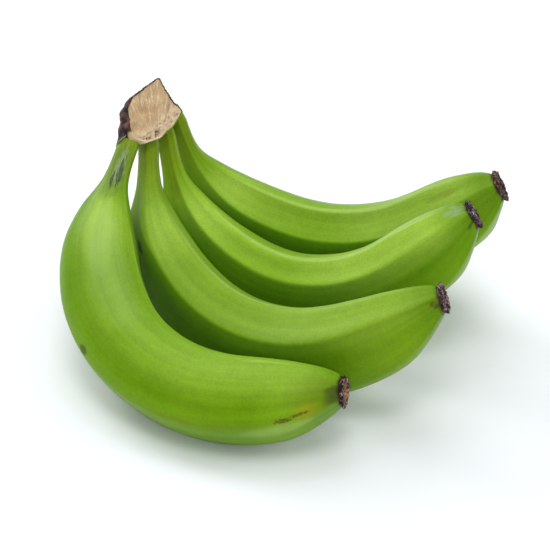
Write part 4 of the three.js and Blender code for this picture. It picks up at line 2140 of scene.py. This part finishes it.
@dataclass(frozen=True)
class DriedFlower:
    """The crumpled brown finish of a dried blossom."""

    # near-black of the painted shade in the creases
    crease_shade: Triple = (0.010, 0.007, 0.008)
    patch: Pattern = Pattern(420, 3.0)
    crease: Pattern = Pattern(760, 2.0, 2.0)
    grain: Pattern = Pattern(2600, 2.0, 4.0)
    # the pattern of the painted glints
    glint: Pattern = Pattern(560, 2.0, 6.0)
    edge: Band = (0.22, 0.40, 0.52, 0.68)
    edge_share: float = 0.6
    patch_share: float = 0.35
    patches: Pair = (0.50, 0.56)
    hollows: Wash = Wash(0.46, 0.60)
    # painted glints
    glints: Wash = Wash(0.60, 0.65, 0.70)
    # painted shade in the low places of the creases
    creases: Wash = Wash(0.52, 0.44, 0.90)
    grain_light: float = 0.5
    bump_heights: Triple = (1.2, 0.6, 1.0)
    roughness: float = 0.75
    gloss: Gloss = Gloss(density=1.45, shine=0.30, bump=0.8, depth=0.0004)

    def material(self, name: str, tone: DriedTone, seed: float) -> bpy.types.Material:
        """The finish of one blossom end.

        Args:
            name: The material's name.
            tone: Its colours.
            seed: Picks its pattern.

        Returns:
            The material.
        """
        g, material = Graph.shader(name)
        _, _, along = g.parts(g.stored("cup_place"))
        inside = g.make("ShaderNodeTexCoord", {}, "Object")
        patch, crease, grain, glint = (
            pattern.over(g, inside, seed)
            for pattern in (self.patch, self.crease, self.grain, self.glint)
        )
        near_edge = g.band(along, self.edge) * self.edge_share
        pale = g.rise(patch, *self.patches) * (near_edge + self.patch_share)
        colour = self.hollows.over(g, along, tone.side, tone.hollow)
        colour = g.blend(pale, colour, tone.edge)
        # painted glints
        colour = self.glints.over(g, glint, colour, tone.glint)
        # painted shade in the creases
        colour = self.creases.over(g, crease, colour, self.crease_shade)
        shred = g.blend(along - BlossomCup.shred_mark, tone.side, tone.edge)
        on_shred = g.math("GREATER_THAN", along, BlossomCup.shred_mark - 0.5)
        colour = g.blend(on_shred, colour, shred)
        colour = g.lit(colour, g.uneven(1.0, (grain,), (self.grain_light,)))
        bumps = g.uneven(0.0, (crease, grain, patch), self.bump_heights)
        g.coat(colour, self.roughness, bumps, self.gloss)
        return material


@dataclass
class BlossomEnds:
    """The four dried blossom ends."""

    cup: BlossomCup = BlossomCup()
    finish: DriedFlower = DriedFlower()

    def build(self) -> List[bpy.types.Object]:
        """Makes each blossom end and puts it in place of its solid.

        Returns:
            The finished blossom ends.
        """
        tree = self.cup.tree()
        pieces = []
        for number, (fruit, blossom) in enumerate(zip(FRUITS, BLOSSOMS), start=1):
            facing, inward, side = fruit.end_axes()
            mark = bpy.data.meshes.new(f"blossom place {number}")
            mark.from_pydata([(0.0, 0.0, 0.0)], [], [])
            name, tone = f"dried blossom {number}", blossom.tone.value
            values = {
                "Forward": tuple(facing), "Inward": tuple(inward), "Across": tuple(side),
                "Radius": fruit.radius * FruitSkin.girth[-1][1] * (1.0 + fruit.blunt),
                "Length": blossom.length, "Waist": blossom.waist,
                "Waist Angle": math.radians(blossom.waist_angle), "Seed": 3.0 * number,
                "Shreds": blossom.shreds, "Skin": self.finish.material(name, tone, 7.0 * number),
            }
            piece = grow(f"blossom_{number}", tree, mark, values)
            end = fruit.centre_line(FruitSkin.line_steps)[-1]
            piece.data.transform(Matrix.Translation(end))
            pieces.append(install(piece, [f"tip_{number}"]))
        return pieces


# ---- Studio ----------------------------------------------------------------------------------


@dataclass(frozen=True)
class SoftBox:
    """A soft square light: its place, side, power in watts, and whether the peel mirrors it."""

    name: str
    place: Triple
    size: float
    power: float
    mirrored: bool = True


@dataclass
class Studio:
    """A white floor in a white room under soft lights, and the camera in front of it."""

    floor_size: float = 24.0
    floor_drop: float = 0.0001
    floor_white: Triple = (0.925, 0.925, 0.925)
    sky_strength: float = 0.24
    light_colour: Triple = (0.97, 1.0, 1.04)
    lights: Tuple[SoftBox, ...] = (
        SoftBox("above", (0.0, 0.0, 1.3), size=1.0, power=2.9),
        SoftBox("above the back", (-0.15, 0.45, 1.25), size=0.8, power=3.6),
        SoftBox("above the camera", (0.0, -0.5, 1.2), size=0.45, power=3.7),
        SoftBox("front", (0.0, -1.2, 0.8), size=0.45, power=3.4),
        SoftBox("back", (0.0, 1.25, 0.8), size=0.8, power=1.1),
        SoftBox("left", (-1.2, -0.1, 0.7), size=0.8, power=1.4),
        SoftBox("right", (1.2, 0.0, 0.7), size=0.8, power=6.4, mirrored=False),
        SoftBox("back left", (-0.9, 0.9, 0.8), size=0.8, power=9.2),
    )
    target: Triple = (-0.0065, -0.0055, 0.045)
    distance: float = 0.8
    elevation: float = 33
    lens: float = 104.7
    sensor: float = 36

    def build(self) -> None:
        """Makes the floor, the lights and the camera."""
        self.floor()
        self.sky()
        for light in self.lights:
            self.hang(light)
        self.camera()
        bpy.context.scene.view_settings.view_transform = "Standard"

    def floor(self) -> None:
        """A wide white floor just under the fruits."""
        half = self.floor_size / 2
        mesh = bpy.data.meshes.new("floor")
        square = ((-half, -half), (half, -half), (half, half), (-half, half))
        mesh.from_pydata([(x, y, -self.floor_drop) for x, y in square], [], [(0, 1, 2, 3)])
        g, material = Graph.shader("white floor")
        paint = g.make("ShaderNodeBsdfDiffuse", {"Color": self.floor_white})
        g.node("ShaderNodeOutputMaterial", {"Surface": paint})
        mesh.materials.append(material)
        floor = bpy.data.objects.new("floor", mesh)
        bpy.context.scene.collection.objects.link(floor)

    def sky(self) -> None:
        """The even light of a white room."""
        world = bpy.data.worlds.new("white room")
        world.use_nodes = True
        world.node_tree.nodes.clear()
        g = Graph(world.node_tree)
        light = {"Color": self.light_colour, "Strength": self.sky_strength}
        g.node("ShaderNodeOutputWorld", {"Surface": g.make("ShaderNodeBackground", light)})
        bpy.context.scene.world = world

    def hang(self, light: SoftBox) -> None:
        """Hangs a light and aims it at the fruits.

        Args:
            light: The light.
        """
        lamp = bpy.data.lights.new(light.name, "AREA")
        lamp.size = light.size
        lamp.energy = light.power
        lamp.color = self.light_colour
        holder = bpy.data.objects.new(light.name, lamp)
        holder.location = light.place
        holder.visible_glossy = light.mirrored
        aim = Vector(self.target) - Vector(light.place)
        holder.rotation_euler = aim.to_track_quat("-Z", "Y").to_euler()
        bpy.context.scene.collection.objects.link(holder)

    def camera(self) -> None:
        """The camera, looking down on the hand."""
        rise = math.radians(self.elevation)
        lens = bpy.data.cameras.new("camera")
        lens.lens = self.lens
        lens.sensor_width = self.sensor
        camera = bpy.data.objects.new("camera", lens)
        away = Vector((0.0, -math.cos(rise), math.sin(rise))) * self.distance
        camera.location = Vector(self.target) + away
        camera.rotation_euler = (math.pi / 2 - rise, 0.0, 0.0)
        bpy.context.scene.collection.objects.link(camera)
        bpy.context.scene.camera = camera


def main() -> None:
    """Builds the hand and the studio, reports each piece, and notes the size of the result."""
    logging.basicConfig(level=logging.INFO, format="%(name)s: %(message)s")
    for assembly in (Bunch(), Crown(), BlossomEnds()):
        for piece in assembly.build():
            triangles = sum(len(face.vertices) - 2 for face in piece.data.polygons)
            LOG.info("%s: %d triangles", piece.name, triangles)
    Studio().build()


if __name__ == "__main__":
    main()
